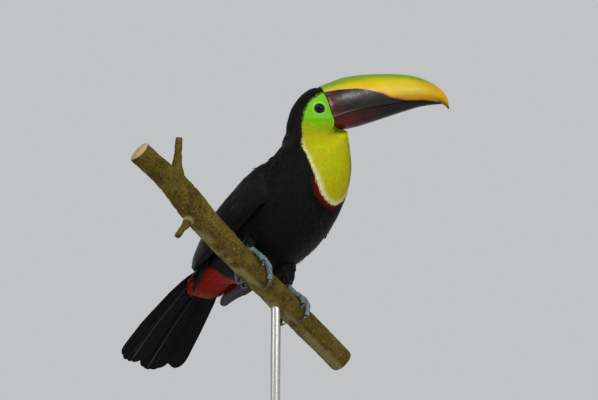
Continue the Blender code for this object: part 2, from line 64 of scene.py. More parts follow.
# Body sections from the tips of the tail coverts to the crown. Each row holds the centre's y and
# z from the bird's datum, pitch, yaw and roll, and the reach to the front, back and sides, in mm.
TRUNK_ROWS = (
    (143, 24, 40, 0, 0, 3, 2, 15), (137, 29, 40, 0, 0, 6.5, 4.5, 25),
    (126, 36, 39, 0, 0, 10, 8, 29), (110, 45, 36, 0, 0, 15, 14, 32),
    (90, 52, 33, 0, 0, 26, 25, 37), (66, 62, 32, 0, 0, 38, 38, 46),
    (38, 73, 32, 0, 0, 49, 51, 52), (8, 87, 33, 0, 0, 55, 58, 56),
    (-24, 107, 38, 0, 0, 57.5, 57, 56), (-48, 128, 54, 0, 0, 55.5, 48, 51),
    (-62, 146, 70, 3, 1, 49.5, 42, 45), (-66, 161, 82, 14, 4, 44, 39, 39.5),
    (-67, 176, 91, 34, 8, 40, 37, 34.5),
)
# Head sections: height above the head's centre, how far forward, then the same reaches.
HEAD_ROWS = (
    (-24, 2, 36, 37, 28), (-16, 1, 32, 35, 25.5), (-6, 1, 28, 32, 23.8), (3, 1, 24, 28.5, 22.8),
    (12, 2, 20, 23.5, 20.3), (20, 3, 15.5, 17, 15.8), (25.5, 4, 9.5, 10, 9.8),
    (28.3, 4.5, 3.5, 3.5, 4),
)
EYE_CENTRE = (0.1, 18.0, 1.1)  # forward, to the side and up from the head's centre, in mm
EYE_RADIUS = 7.4 * MM
VENT = BIRD + np.array((0, 59, 20)) * MM
VENT_LEAN = math.radians(41)

# Bill profile, from base to tip, in mm ahead of and above the head's centre.
BILL_STEPS = (0, 0.1, 0.2, 0.35, 0.5, 0.65, 0.78, 0.88, 0.95, 0.985, 1)
CULMEN = (
    (6, 27.4), (21, 36), (38, 41.5), (62, 45), (88, 46.2), (112, 45.6),
    (133, 42.2), (152, 34.8), (165.5, 24.8), (171.6, 14), (172.8, 3.6),
)
UPPER_EDGE = (
    (18.6, -10.3), (30, -5.4), (44, -1.5), (66, 2.7), (90, 7.1), (112, 11.2),
    (131, 12), (147, 11.6), (160, 12.2), (168, 8.8), (172, 3.4),
)
UPPER_HALF_WIDTH = (19.5, 20, 19.5, 18, 16.2, 14, 11.8, 9.3, 6.5, 3.6, 0.9)
LOWER_EDGE = (
    (18.6, -10.7), (30, -5.8), (44, -1.9), (66, 2.3), (90, 6.7), (112, 10.8),
    (131, 11.5), (146, 11), (155, 10.6), (160, 10.3), (163, 10),
)
GONYS = (
    (23.5, -22), (36, -21), (50, -18.6), (71, -12.7), (93, -5.9), (114, 0.4),
    (131, 5.2), (145, 7.8), (154, 8.8), (159.5, 9.2), (162.6, 9.4),
)
LOWER_HALF_WIDTH = (18.6, 18.8, 17.9, 15.8, 13.4, 10.9, 8.3, 5.6, 3.4, 2, 0.8)

# Folded wing: centre x, y, z, half height, half thickness in mm, and lean in degrees.
WING_ROWS = (
    (-34, -47, 131, 9, 5, 12), (-45, -38, 124, 23, 11, 14), (-48, -16, 112, 32, 13, 18),
    (-49, 16, 95, 35, 14.5, 22), (-48, 50, 79, 33, 13.5, 24), (-44, 82, 63, 27, 10, 26),
    (-38, 105, 51, 16, 6, 28),
)
PRIMARY_ROWS = (
    (-42, 68, 58, 15, 2.4, 26), (-41, 86, 50, 17, 2.2, 28), (-38, 102, 41, 13, 1.9, 30),
    (-35, 115, 31, 7, 1.5, 32), (-33, 125, 24, 2, 1, 34),
)
WING_START, WING_END = -50, 120
WING_HANG = {-1: np.zeros(3), 1: np.array((2, 24, -7))}
SIDES = {"right": -1, "left": 1}

TAIL_ROOT = BIRD + np.array((-11, 118, 46)) * MM
TAIL_PITCH = math.radians(40)
TAIL_BACK = np.array((0, math.cos(TAIL_PITCH), -math.sin(TAIL_PITCH)))
TAIL_UP = np.array((0, math.sin(TAIL_PITCH), math.cos(TAIL_PITCH)))
TAIL_SPREAD = ((-12, 19, 0), (16, 30, -1), (90, 44, -4.7), (160, 52, -5))
TAIL_TIPS = (
    (-0.80, 146), (-0.66, 153), (-0.50, 156), (-0.36, 157), (0.0, 164),
    (0.12, 167), (0.26, 166), (0.38, 162), (0.72, 154), (0.82, 157),
)


# ---------------------------------------------------------------- numeric helpers
def unit(vectors):
    return vectors / np.maximum(np.linalg.norm(vectors, axis=-1, keepdims=True), 1e-12)


def dot(a, b):
    return (a * b).sum(-1)


def smooth(low, high, values):
    share = np.clip((values - low) / (high - low), 0, 1)
    return share * share * (3 - 2 * share)


def mix(a, b, share):
    return a + (b - a) * share


def full_turn(count):
    """Angles all round, in equal steps."""
    return np.linspace(0, math.tau, count, endpoint=False)


def pairs(a, b):
    """Grids of every a with every b."""
    return np.meshgrid(a, b, indexing="ij")


def around(first, second, angle):
    """Directions at an angle from the first of two axes towards the second."""
    return first * np.cos(angle)[..., None] + second * np.sin(angle)[..., None]


def strides(points):
    return np.linalg.norm(np.diff(points, axis=0), axis=1)


def travelled(points):
    """How far along a path each of its points lies."""
    return np.concatenate([[0], np.cumsum(strides(points))])


def hermite(t, start, leave, end, arrive, pull):
    """A smooth run from start to end, by the ways in which it leaves and arrives."""
    return (
        (2 * t**3 - 3 * t**2 + 1) * start + (t**3 - 2 * t**2 + t) * leave * pull
        + (3 * t**2 - 2 * t**3) * end + (t**3 - t**2) * arrive * pull
    )


def noise(points, size, seed, octaves=3):
    """Smooth values of about -1 to 1 at points, from sums of sines in turned directions."""
    rng = np.random.default_rng(seed)
    total = np.zeros(len(points))
    strength = 0.42
    for _ in range(octaves):
        for _ in range(5):
            wave = unit(rng.normal(size=3)) * math.tau / (size * rng.uniform(0.7, 1.3))
            total += strength * np.sin(points @ wave + rng.uniform(0, math.tau))
        size, strength = size / 2.1, strength / 2
    return total


class Rows:
    """A table of rows as smooth functions of the row number, by Catmull-Rom interpolation."""

    def __init__(self, rows, per_row=40):
        table = np.array(rows, float)
        self.last = len(table) - 1
        padded = np.vstack([2 * table[0] - table[1], table, 2 * table[-1] - table[-2]])
        self.steps = np.linspace(0, self.last, self.last * per_row + 1)
        i = np.minimum(self.steps.astype(int), self.last - 1)
        before, start, end, after = (padded[i + k] for k in range(4))
        self.values = hermite((self.steps - i)[:, None], start, end - before, end, after - start, 0.5)

    def at(self, step):
        step = np.asarray(step, float)
        return [np.interp(step, self.steps, column) for column in self.values.T]


def turned(pitch, yaw, roll):
    """Front, left and up of sections whose column has these angles, as arrays of vectors."""
    pitch, yaw, roll = (np.radians(a) for a in (pitch, yaw, roll))
    swing = lambda x, y, z: np.stack(
        [x * np.cos(yaw) - y * np.sin(yaw), x * np.sin(yaw) + y * np.cos(yaw), z], -1
    )
    zero, one = np.zeros_like(pitch), np.ones_like(pitch)
    front = swing(zero, -np.sin(pitch), -np.cos(pitch))
    up = swing(zero, -np.cos(pitch), np.sin(pitch))
    left = swing(one, zero, zero)
    c, s = np.cos(roll)[..., None], np.sin(roll)[..., None]
    return front, left * c + np.cross(front, left) * s, up * c + np.cross(front, up) * s


HEAD_FRONT, HEAD_LEFT, HEAD_UP = turned(*(np.float64(a) for a in HEAD_TURN))


def in_head(forward, left, up):
    """Points given in metres along the head's own axes."""
    parts = ((forward, HEAD_FRONT), (left, HEAD_LEFT), (up, HEAD_UP))
    return HEAD_CENTRE + sum(np.asarray(a)[..., None] * axis for a, axis in parts)


def head_axes(points):
    """How far points lie ahead of, left of and above the head's centre."""
    off = points - HEAD_CENTRE
    return off @ HEAD_FRONT, off @ HEAD_LEFT, off @ HEAD_UP


# ---------------------------------------------------------------- meshes and materials
def build(name, points, *face_groups, uv=None, **attributes):
    """A smooth object from points and arrays of faces, with point attributes and an OFBake map."""
    mesh = bpy.data.meshes.new(name)
    sizes = np.concatenate([np.full(len(g), g.shape[1]) for g in face_groups])
    corners = np.concatenate([g.ravel() for g in face_groups]).astype(np.int32)
    mesh.vertices.add(len(points))
    mesh.vertices.foreach_set("co", np.asarray(points, np.float32).ravel())
    mesh.loops.add(len(corners))
    mesh.loops.foreach_set("vertex_index", corners)
    mesh.polygons.add(len(sizes))
    starts = np.concatenate([[0], np.cumsum(sizes)[:-1]]).astype(np.int32)
    mesh.polygons.foreach_set("loop_start", starts)
    mesh.update(calc_edges=True)
    if uv is not None:
        map_corners(mesh, np.asarray(uv)[corners])
    for key, values in attributes.items():
        put(mesh, key, values)
    mesh.shade_smooth()
    made = bpy.data.objects.new(name, mesh)
    bpy.context.scene.collection.objects.link(made)
    return made


def map_corners(mesh, uv):
    layer = mesh.uv_layers.new(name="OFBake")
    layer.data.foreach_set("uv", uv.astype(np.float32).ravel())


def put(mesh, key, values):
    """Stores a number or a colour at every point of a mesh."""
    values = np.asarray(values, np.float32)
    if values.ndim == 1:
        mesh.attributes.new(key, "FLOAT", "POINT").data.foreach_set("value", values)
        return
    colours = np.ones((len(values), 4), np.float32)
    colours[:, :3] = values
    mesh.attributes.new(key, "FLOAT_COLOR", "POINT").data.foreach_set("color", colours.ravel())


def grid_faces(rows, columns, wrap=True, start=0):
    """Quads of a grid of points, row by row; wrap closes each row into a ring."""
    i, j = pairs(np.arange(rows - 1), np.arange(columns if wrap else columns - 1))
    k = (j + 1) % columns
    corners = (i * columns + j, i * columns + k, (i + 1) * columns + k, (i + 1) * columns + j)
    return np.stack([c.ravel() for c in corners], 1) + start


def capped(rings):
    """Points, quads and fans of triangles of a loft closed at both ends by a middle point."""
    rows, columns = rings.shape[:2]
    points = np.concatenate([rings.reshape(-1, 3), rings[[0, -1]].mean(1)])
    j = np.arange(columns)
    k = (j + 1) % columns
    last, hub = (rows - 1) * columns, np.full(columns, rows * columns)
    fans = np.stack([k, j, hub], 1), np.stack([last + j, last + k, hub + 1], 1)
    return points, grid_faces(rows, columns), np.concatenate(fans)


def with_ends(values):
    """A value at each point of a loft's rings, and its middle at the two caps."""
    return np.append(values.ravel(), [values[0].mean(), values[-1].mean()])


def joined(parts):
    """Points and arrays of faces of several parts, each a tuple of them, as those of one."""
    points, *groups = zip(*parts)
    starts = np.cumsum([0] + [len(p) for p in points])
    return np.concatenate(points), *(
        np.concatenate([faces + start for faces, start in zip(group, starts)]) for group in groups
    )


def mesh_points(mesh, field="co"):
    values = np.empty(len(mesh.vertices) * 3, np.float32)
    mesh.vertices.foreach_get(field, values)
    return values.reshape(-1, 3).astype(float)


def thicken(made, thickness, offset=0):
    shell = made.modifiers.new("thickness", "SOLIDIFY")
    shell.thickness = thickness
    shell.offset = offset


def revolved(reach, height, turns):
    """Rings round the upright axis, from how far out and how high each one lies."""
    turn = full_turn(turns)
    across = (reach[:, None] * way(turn) for way in (np.cos, np.sin))
    return np.stack([*across, np.repeat(height[:, None], turns, 1)], -1)


class Value:
    """A number or colour inside a material. Sums and products of them add the nodes they need."""

    def __init__(self, shader, socket):
        self.shader, self.socket = shader, socket

    def __add__(self, other):
        return self.shader.maths("ADD", self, other)

    def __radd__(self, other):
        return self.shader.maths("ADD", other, self)

    def __sub__(self, other):
        return self.shader.maths("SUBTRACT", self, other)

    def __rsub__(self, other):
        return self.shader.maths("SUBTRACT", other, self)

    def __mul__(self, other):
        return self.shader.maths("MULTIPLY", self, other)

    def __abs__(self):
        return self.shader.maths("ABSOLUTE", self)

    def step(self, low, high):
        """0 below low and 1 above high, smoothly in between; it falls where low is above high."""
        inputs = {"Value": self, 1: low, 2: high, 3: 0.0, 4: 1.0}
        return self.shader.node("MapRange", inputs, interpolation_type="SMOOTHSTEP")


class Shader:
    """A material made of nodes, with short ways to add, join and paint with them."""

    def __init__(self, name, roughness=0.5, **constants):
        self.material = bpy.data.materials.new(name)
        self.material.use_nodes = True
        self.nodes = self.material.node_tree.nodes
        self.surface = self.nodes["Principled BSDF"]
        self.colour = None
        for key, value in {"Roughness": roughness, **constants}.items():
            self.set(key.replace("_", " "), value)

    def node(self, kind, inputs=(), out=0, **settings):
        made = self.nodes.new("ShaderNode" + kind)
        for key, value in settings.items():
            setattr(made, key, value)
        for key, value in dict(inputs).items():
            self.feed(made.inputs[key], value)
        return Value(self, made.outputs[out])

    def feed(self, socket, value):
        if isinstance(value, Value):
            self.material.node_tree.links.new(value.socket, socket)
        elif socket.type == "RGBA":
            socket.default_value = (*value, 1)
        else:
            socket.default_value = value

    def set(self, key, value):
        self.feed(self.surface.inputs[key], value)

    def read(self, key, out="Fac"):
        return self.node("Attribute", attribute_name=key, out=out)

    def place(self, stretch=None):
        where = self.node("TexCoord", out="Object")
        return self.node("Mapping", {"Vector": where, "Scale": stretch}) if stretch else where

    def maths(self, operation, a, b=0.0):
        return self.node("Math", {0: a, 1: b}, operation=operation)

    def blend(self, share, a, b, kind="MIX"):
        return self.node("Mix", {"Factor": share, 6: a, 7: b}, data_type="RGBA", blend_type=kind, out=2)

    def grain(self, scale, detail=4.0, roughness=0.55, vector=None, stretch=None):
        inputs = {"Vector": vector or self.place(stretch), "Scale": scale, "Detail": detail}
        return self.node("TexNoise", {**inputs, "Roughness": roughness})

    def spots(self, scale):
        return self.node("TexVoronoi", {"Vector": self.place(), "Scale": scale})

    def paint(self, share, colour, kind="MIX"):
        """Lays a colour over the one so far, by this share."""
        self.colour = self.blend(share, self.colour, colour, kind)

    def done(self, height=None, distance=0.0, strength=0.0, roughness=None):
        """The finished material, with the bumps of a height over this distance in metres."""
        self.set("Base Color", self.colour)
        if roughness is not None:
            self.set("Roughness", roughness)
        if height is not None:
            bump = {"Height": height, "Distance": distance, "Strength": strength}
            self.set("Normal", self.node("Bump", bump))
        return self.material


def finish(made, material, replaces=()):
    """Gives a piece its material and slot, sets it on the part's one body and hides what it replaces."""
    made.data.materials.clear()
    made.data.materials.append(material)
    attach(made, "root")
    if replaces:
        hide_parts(*replaces)
    return made


# ---------------------------------------------------------------- the body's surfaces
def body_table():
    rows = [
        (*(BIRD + np.array((0, y, z)) * MM), *rest) for y, z, *rest in TRUNK_ROWS
    ]
    for up, forward, *reaches in HEAD_ROWS:
        rows.append((*in_head(forward * MM, 0, up * MM), *HEAD_TURN, *reaches))
    return rows


BODY = Rows(body_table())
NECK_ROW = 11  # from this row up the sections belong to the neck and head
NECK_SMOOTH = (10.4, 14.6)  # between these rows the sides and nape run in one smooth curve
# Height in the head, and how far ahead of its centre the bill's hind edge lies, in mm.
BILL_BASE = np.array(
    ((-22, 22.9), (-17, 19), (-9, 15.4), (-1.4, 14.4), (9, 12), (21, 7.3), (27, 5.5), (43, 0.6))
).T
CHIN = -22 * MM
# The edge of the yellow bib and bare face: row number and half angle round the column, in degrees.
BIB_EDGE = (
    (8.88, 0), (8.93, 10), (9, 18), (9.1, 25), (9.3, 34), (9.5, 41), (9.8, 51), (10.1, 61),
    (10.6, 72), (11.3, 82), (12, 94), (12.8, 111), (13.6, 125), (14.4, 129), (15.6, 126),
    (16.5, 121), (17.1, 113), (17.6, 98), (18, 82), (18.3, 66), (18.45, 40), (18.5, 0),
)
BIB_TURN = ((8.8, 10, 11.7), (9, 7, 0))  # the bib's middle line is drawn to the bird's left
WHITE_WIDTH = ((8.88, 9.1, 9.4, 9.8, 10.2, 10.7, 11.6, 12.6), (5, 6, 7, 5.5, 4, 3, 1.6, 0))
RED_WIDTH = ((8.7, 9.1, 9.35, 9.6), (5.5, 6, 3.5, 0))
FACE_FADE = (-24 * MM, -7 * MM)  # the face goes over into the throat between these heights
COAT_DEPTH = ((0, 1, 3, 5, 9, 12, 14, 20), (1, 2.4, 3.4, 2.8, 2.4, 1.8, 1.4, 1.1))

BLACK = np.array((0.0042, 0.0042, 0.005))
MAROON = np.array((0.012, 0.0045, 0.0045))
YELLOW = np.array((0.46, 0.42, 0.003))
LEMON = np.array((0.45, 0.47, 0.006))
GREEN = np.array((0.128, 0.42, 0.003))
CREAM = np.array((0.66, 0.64, 0.32))
BELT = np.array((0.085, 0.003, 0.003))
RED = np.array((0.29, 0.008, 0.002))
PINK = np.array((0.34, 0.055, 0.04))
OLIVE = np.array((0.28, 0.20, 0.02))
SMUDGE = (13.6, -112)  # row number and angle of the dull patch at the cheek's lower hind corner
WHITE = np.array((0.74, 0.72, 0.66))
DOWN = np.array((0.07, 0.07, 0.075))


def bill_base(up):
    return np.interp(up / MM, *BILL_BASE) * MM


def body_at(step, angle, depth=0.0):
    """Points of the body at a row number and an angle from its front, this far under its outline."""
    step, angle = np.asarray(step, float), np.asarray(angle, float)
    low, high = NECK_SMOOTH
    e = 0.05
    before, start, end, after = (
        body_rows_at(np.full_like(step, at), angle, depth) for at in (low - e, low, high, high + e)
    )
    leave, arrive = (start - before) / e * (high - low), (after - end) / e * (high - low)
    t = np.clip((step - low) / (high - low), 0, 1)[..., None]
    curve = hermite(t, start, leave, end, arrive, 0.8)
    off = (np.degrees(angle) + 180) % 360 - 180
    begin = np.where(off > 0, 18, 10)
    off = np.abs(off)
    share = smooth(begin, begin + 38, off) * (1 - 0.9 * smooth(125, 160, off))
    share = share * (step > low) * (step < high)
    return mix(body_rows_at(step, angle, depth), curve, share[..., None])


def body_rows_at(step, angle, depth):
    x, y, z, pitch, yaw, roll, front, back, side = BODY.at(step)
    front_axis, left_axis, _ = turned(pitch, yaw, roll)
    ahead, across = np.cos(angle), np.sin(angle)
    least = 0.4 * MM
    reach = np.maximum(np.where(ahead > 0, front, back) * MM - depth, least)
    wide = np.maximum(side * MM - depth, least)
    points = np.stack([x, y, z], -1) + front_axis * (ahead * reach)[..., None]
    points = points + left_axis * (across * wide)[..., None]
    forward, _, up = head_axes(points)
    limit = bill_base(up) + 1.5 * MM
    soft = (1.5 + 9 * smooth(0.15, 0.8, np.abs(angle))) * MM
    held = mix(forward, np.minimum(forward, limit), smooth(CHIN - soft, CHIN, up))
    return points + (held - forward)[..., None] * HEAD_FRONT


def bib_distance(step, angle):
    """How far inside the bib's and face's edge a place lies, in metres; outside is negative."""
    front, _, side = BODY.values[:, 6:].T

    def unrolled(steps, angles):
        girth = np.minimum(np.interp(steps, BODY.steps, side * 0.5 + front * 0.5), 48)
        return np.stack([np.radians(angles) * girth * MM, np.interp(steps, BODY.steps, BODY_RISE)], -1)

    middle = np.interp(step, *BIB_TURN)
    off = (np.degrees(angle) - middle + 180) % 360 - 180
    places = unrolled(step, np.abs(off))
    edge = unrolled(*np.array(BIB_EDGE).T)
    nearest = np.full(len(places), np.inf)
    for start, end in zip(edge, edge[1:]):
        run = end - start
        share = np.clip((places - start) @ run / (run @ run), 0, 1)
        nearest = np.minimum(nearest, np.linalg.norm(places - start - share[:, None] * run, axis=1))
    half = np.interp(step, *np.array(BIB_EDGE).T, left=-1, right=-1)
    return np.where(np.abs(off) < half, nearest, -nearest)


# How far along the front of the body each of its steps lies.
BODY_RISE = travelled(body_at(BODY.steps, np.zeros(len(BODY.steps))))


def behind_vent(points):
    """How far behind the parting of belly and tail coverts points lie."""
    return (points - VENT) @ np.array((0, math.cos(VENT_LEAN), -math.sin(VENT_LEAN)))


def plumage(step, angle, points, ragged=0.0):
    """The colour of feathers and skin at places on the body; ragged breaks the edges up."""
    wavy = noise(points, 7 * MM, 15, 2) * smooth(13.4, 12.4, step) * smooth(9.2, 9.9, step)
    inside = bib_distance(step, angle) + ragged + 0.55 * MM * wavy
    _, _, up = head_axes(points)
    nape = smooth(10.5, 12.5, step) * smooth(17.5, 15, step)
    red = np.interp(step, *RED_WIDTH) * MM
    belt = smooth(-red - 0.4 * MM, -red + 0.4 * MM, inside) * (red > 0)
    white = np.interp(step, *WHITE_WIDTH) * MM
    lit = mix(YELLOW, LEMON, (0.5 + 0.5 * noise(points, 14 * MM, 5))[:, None])
    # painted light: the yellow is brightened by up to 28% from low on the throat up to the cheeks, to
    # lift the shade where they turn down under the bill
    lit = lit * (1 + 0.28 * smooth(-62 * MM, -30 * MM, up))[:, None]
    within = smooth(-0.3 * MM, 0.3 * MM, inside)
    pale = within * smooth(white * 1.15 + 0.1 * MM, white * 0.45, inside) * smooth(0, 0.8 * MM, white)
    bare = smooth(-37 * MM, -9 * MM, up + 1.8 * noise(points, 14 * MM, 6) * MM) * within
    smudge = np.exp(-(np.hypot(step - SMUDGE[0], (np.degrees(angle) - SMUDGE[1]) / 22) ** 2) / 0.05)
    tail = smooth(-0.5 * MM, 0.8 * MM, behind_vent(points) + ragged)
    parting = math.radians(91) + 0.5 * smooth(1.4, 0.3, step)
    above = smooth(parting, parting + 0.14, np.abs(angle))
    fringe = smooth(1.5, 0.4, step) * 0.75
    coverts = mix(mix(RED, PINK, fringe[:, None]), WHITE, above[:, None])
    layers = (
        (nape * 0.6, MAROON), (belt, BELT), (within, lit), (pale, CREAM), (bare, GREEN),
        (smudge * 0.55, OLIVE), (tail * (step < 7), coverts),
    )
    colours = np.tile(BLACK, (len(points), 1))
    for share, colour in layers:
        colours = mix(colours, colour, share[:, None])
    return colours


def bareness(step, angle, points):
    """1 on the bare skin of the face, 0 on feathered skin."""
    _, _, up = head_axes(points)
    inside = bib_distance(step, angle)
    return smooth(-0.2 * MM, 0.8 * MM, inside) * smooth(*FACE_FADE, up)


def lie(points):
    """The way feathers point: back over the crown, down the neck and towards the tail."""
    _, _, up = head_axes(points)
    head = smooth(-32 * MM, -8 * MM, up)[:, None]
    trunk = smooth(152 * MM, 95 * MM, (points - BIRD)[:, 2])[:, None]
    run = mix(np.array((0, 0.1, -1.0)), np.array((0, 0.82, -0.57)), trunk)
    return unit(mix(run, -0.75 * HEAD_FRONT - 0.65 * HEAD_UP, head))


WING = Rows(WING_ROWS)
PRIMARIES = Rows(PRIMARY_ROWS)
THIGHS = {  # cuff and hip from the bird's datum, and the radius at cuff, half way and hip, in mm
    "right": ((-42, -2, 49), (-34, 12, 82)),
    "left": ((13, -4, 15), (14, 10, 62)),
}
THIGH_REACH = (8, 15, 21)


def blade_centre(rows, side, step):
    x, y, z = rows.at(step)[:3]
    share = np.maximum(0, (y - WING_START) / (WING_END - WING_START))
    return BIRD + (np.stack([-side * x, y, z], -1) + WING_HANG[side] * share[..., None] ** 2) * MM


def blade_axes(rows, side, step):
    """Centre, run, tall and outward axes, half height and half thickness of a folded wing."""
    _, _, _, high, thick, lean = rows.at(step)
    run = unit(blade_centre(rows, side, step + 0.03) - blade_centre(rows, side, step - 0.03))
    lean = -side * np.radians(lean)
    tall = np.stack([np.sin(lean), np.zeros_like(lean), np.cos(lean)], -1)
    tall = unit(tall - run * dot(run, tall)[..., None])
    out = np.cross(run, tall) * side
    return blade_centre(rows, side, step), run, tall, out, high * MM, thick * MM


def wing_sink(step, height):
    """How far the wrist lies under the solid wing's face, so that it joins the breast."""
    sink = np.interp(step, (0, 0.7, 1.5, 2.3, 3.2), (5.5, 5.5, 3.4, 1.2, 0)) * MM
    return sink * (1 - smooth(0, 0.8, height))


def wing_at(side, rows=WING):
    """The outer face of a wing as a surface of row number and height, -1 at its lower edge to 1."""
    def surface(step, height, depth=0.0):
        step = np.asarray(step, float)
        centre, _, tall, out, high, thick = blade_axes(rows, side, step)
        bulge = np.sqrt(np.maximum(0, 1 - np.minimum(1, height**2)))
        reach = bulge * thick - depth - wing_sink(step, height)
        return centre + tall * (height * high)[..., None] + out * reach[..., None]
    return surface


def thigh_line(name):
    """Where a thigh meets its cuff and the hip."""
    return (BIRD + np.array(p) * MM for p in THIGHS[name])


def thigh_at(name):
    """The feathered thigh as a surface of share from cuff to hip and angle."""
    cuff, hip = thigh_line(name)
    run = unit(hip - cuff)
    side = unit(X - run * dot(run, X))
    other = np.cross(run, side)

    def surface(share, angle, depth=0.0):
        rounded = np.interp(share, (0, 0.08, 0.2), (0.6, 0.9, 1))
        radius = np.interp(share, (0, 0.45, 1), THIGH_REACH) * rounded
        radius = np.maximum(radius * MM - depth, 0.5 * MM)
        middle = cuff + (hip - cuff) * share[..., None]
        sideways = side * (np.cos(angle) * radius)[..., None]
        return middle + sideways + other * (np.sin(angle) * radius)[..., None]
    return surface


# ---------------------------------------------------------------- skin
def union(obj, others):
    for other in others:
        made = obj.modifiers.new("join", "BOOLEAN")
        made.operation = "UNION"
        made.solver = "EXACT"
        made.object = other
    graph = bpy.context.evaluated_depsgraph_get()
    mesh = bpy.data.meshes.new_from_object(obj.evaluated_get(graph))
    obj.modifiers.clear()
    obj.data = mesh
    for other in others:
        bpy.data.objects.remove(other)


def closed_loft(name, rings):
    points, quads, caps = capped(rings)
    return build(name, points, quads, caps)


def body_grid(turns=240):
    """Row numbers and angles of the skin's points, closer together on the head."""
    spacing = np.interp(BODY.steps, (0, 9, 12, 13.5, 20), (2.2, 2.2, 1.3, 0.75, 0.7)) * MM
    rise = travelled(BODY.values[:, :3])
    along = np.concatenate([[0], np.cumsum(np.diff(rise) / spacing[1:])])
    steps = np.interp(np.arange(0, along[-1], 1.0), along, BODY.steps)
    angles = np.linspace(-math.pi, math.pi, turns, endpoint=False)
    return pairs(np.append(steps, BODY.last), angles)


def skin_depth(step, angle, points):
    depth = np.interp(step, *COAT_DEPTH) * MM
    return depth * (1 - bareness(step, angle, points))


def wing_core(side):
    """The flesh of a folded wing, under its feathers."""
    inset = 2.6 * MM
    turn = full_turn(36)
    step = np.linspace(0, WING.last, 44)
    centre, _, tall, out, high, thick = blade_axes(WING, side, step)
    reach = (thick - inset)[:, None] - wing_sink(step[:, None], np.sin(turn))
    rings = centre[:, None] + tall[:, None] * (np.sin(turn) * (high - inset)[:, None])[..., None]
    rings = rings + out[:, None] * (np.cos(turn) * np.maximum(reach, MM))[..., None]
    return closed_loft("wing_core", rings)


def make_skin():
    steps, angles = body_grid()
    s, a = steps.ravel(), angles.ravel()
    outline = body_at(s, a)
    bare = bareness(s, a, outline)
    points = body_at(s, a, skin_depth(s, a, outline))
    forward, _, up = head_axes(points)
    eye_f, _, eye_u = EYE_CENTRE
    ring = np.hypot(forward - eye_f * MM, up - eye_u * MM)
    folds = np.sin(ring / (0.95 * MM) + 1.2 * noise(points, 6 * MM, 3))
    folds = folds * smooth(13 * MM, 8 * MM, ring)
    rise = bare * (0.10 * folds + 0.09 * noise(points, 2.1 * MM, 4, 2)) * MM
    points = points + frames(body_at, s, a)[2] * rise[:, None]
    body = closed_loft("skin", points.reshape(*steps.shape, 3))
    others = []
    for name, side in SIDES.items():
        others.append(wing_core(side))
        share, turn = pairs(np.linspace(0, 1, 24), full_turn(36))
        others.append(closed_loft("thigh_core", thigh_at(name)(share, turn, 1.8 * MM)))
    colours = plumage(s, a, outline)
    union(body, others)
    wrap = grid_faces(*steps.shape)
    tree = BVHTree.FromPolygons(points.tolist(), wrap.tolist())
    found = [tree.find_nearest(Vector(p)) for p in mesh_points(body.data)]
    nearest = np.array([wrap[hit[2]][0] for hit in found])
    on_body = np.array([hit[3] < 0.3 * MM for hit in found])
    put(body.data, "coat", np.where(on_body[:, None], colours[nearest], BLACK))
    put(body.data, "bare", bare[nearest] * on_body)
    body.data.shade_smooth()
    flesh = ["head", "neck", "trunk", "coverts_upper", "coverts_under"]
    flesh += [f"{part}_{name}" for part in ("wing", "thigh") for name in SIDES]
    return finish(body, skin_material(), flesh)


def skin_material():
    m = Shader("skin", 0.42, Subsurface_Weight=0.08, Subsurface_Scale=0.004, Specular_IOR_Level=0.18)
    bare, own = m.read("bare"), m.read("coat", "Color")
    mottled = m.blend(m.grain(420, 3).step(0.35, 0.75) * 0.6, own, (1.3, 1.08, 1.0), "MULTIPLY")
    m.colour = m.blend(bare, own, mottled)
    return m.done(m.spots(900) * bare, 0.00025, 0.6, roughness=0.9 - bare * 0.48)


def frames(surface, u, v):
    """Change of a surface with u and with v, and its outward normal."""
    e = 2e-3
    du = (surface(u + e, v) - surface(u - e, v)) / (2 * e)
    dv = (surface(u, v + e) - surface(u, v - e)) / (2 * e)
    normal = unit(np.cross(du, dv))
    out = surface(u, v, -MM) - surface(u, v)
    return du, dv, normal * np.where(dot(normal, out) < 0, -1.0, 1.0)[:, None]


# ---------------------------------------------------------------- plumage
def template(shares, widths, columns):
    """A pointed vane as shares of its length and width at each point, and its triangles."""
    across = np.linspace(-1, 1, columns)
    t = np.append(np.repeat(shares, columns), 1.0)
    x = np.append(np.tile(across, len(shares)), 0.0)
    w = np.append(np.repeat(widths, columns), 0.0)
    quads = grid_faces(len(shares), columns, wrap=False)
    last = (len(shares) - 1) * columns
    tip = [(last + j, last + j + 1, len(t) - 1) for j in range(columns - 1)]
    return t, x, w, np.concatenate([quads[:, (0, 1, 2)], quads[:, (0, 2, 3)], np.array(tip)])


VANE = template((0, 0.3, 0.62, 0.86), (0.35, 0.9, 1.0, 0.66), 3)
BARB = template((0, 0.5), (0.8, 1.0), 2)
# Shares of the plastic number, whose multiples spread evenly over a plane.
EVEN_STEPS = 0.7548776662466927, 0.5698402909980532


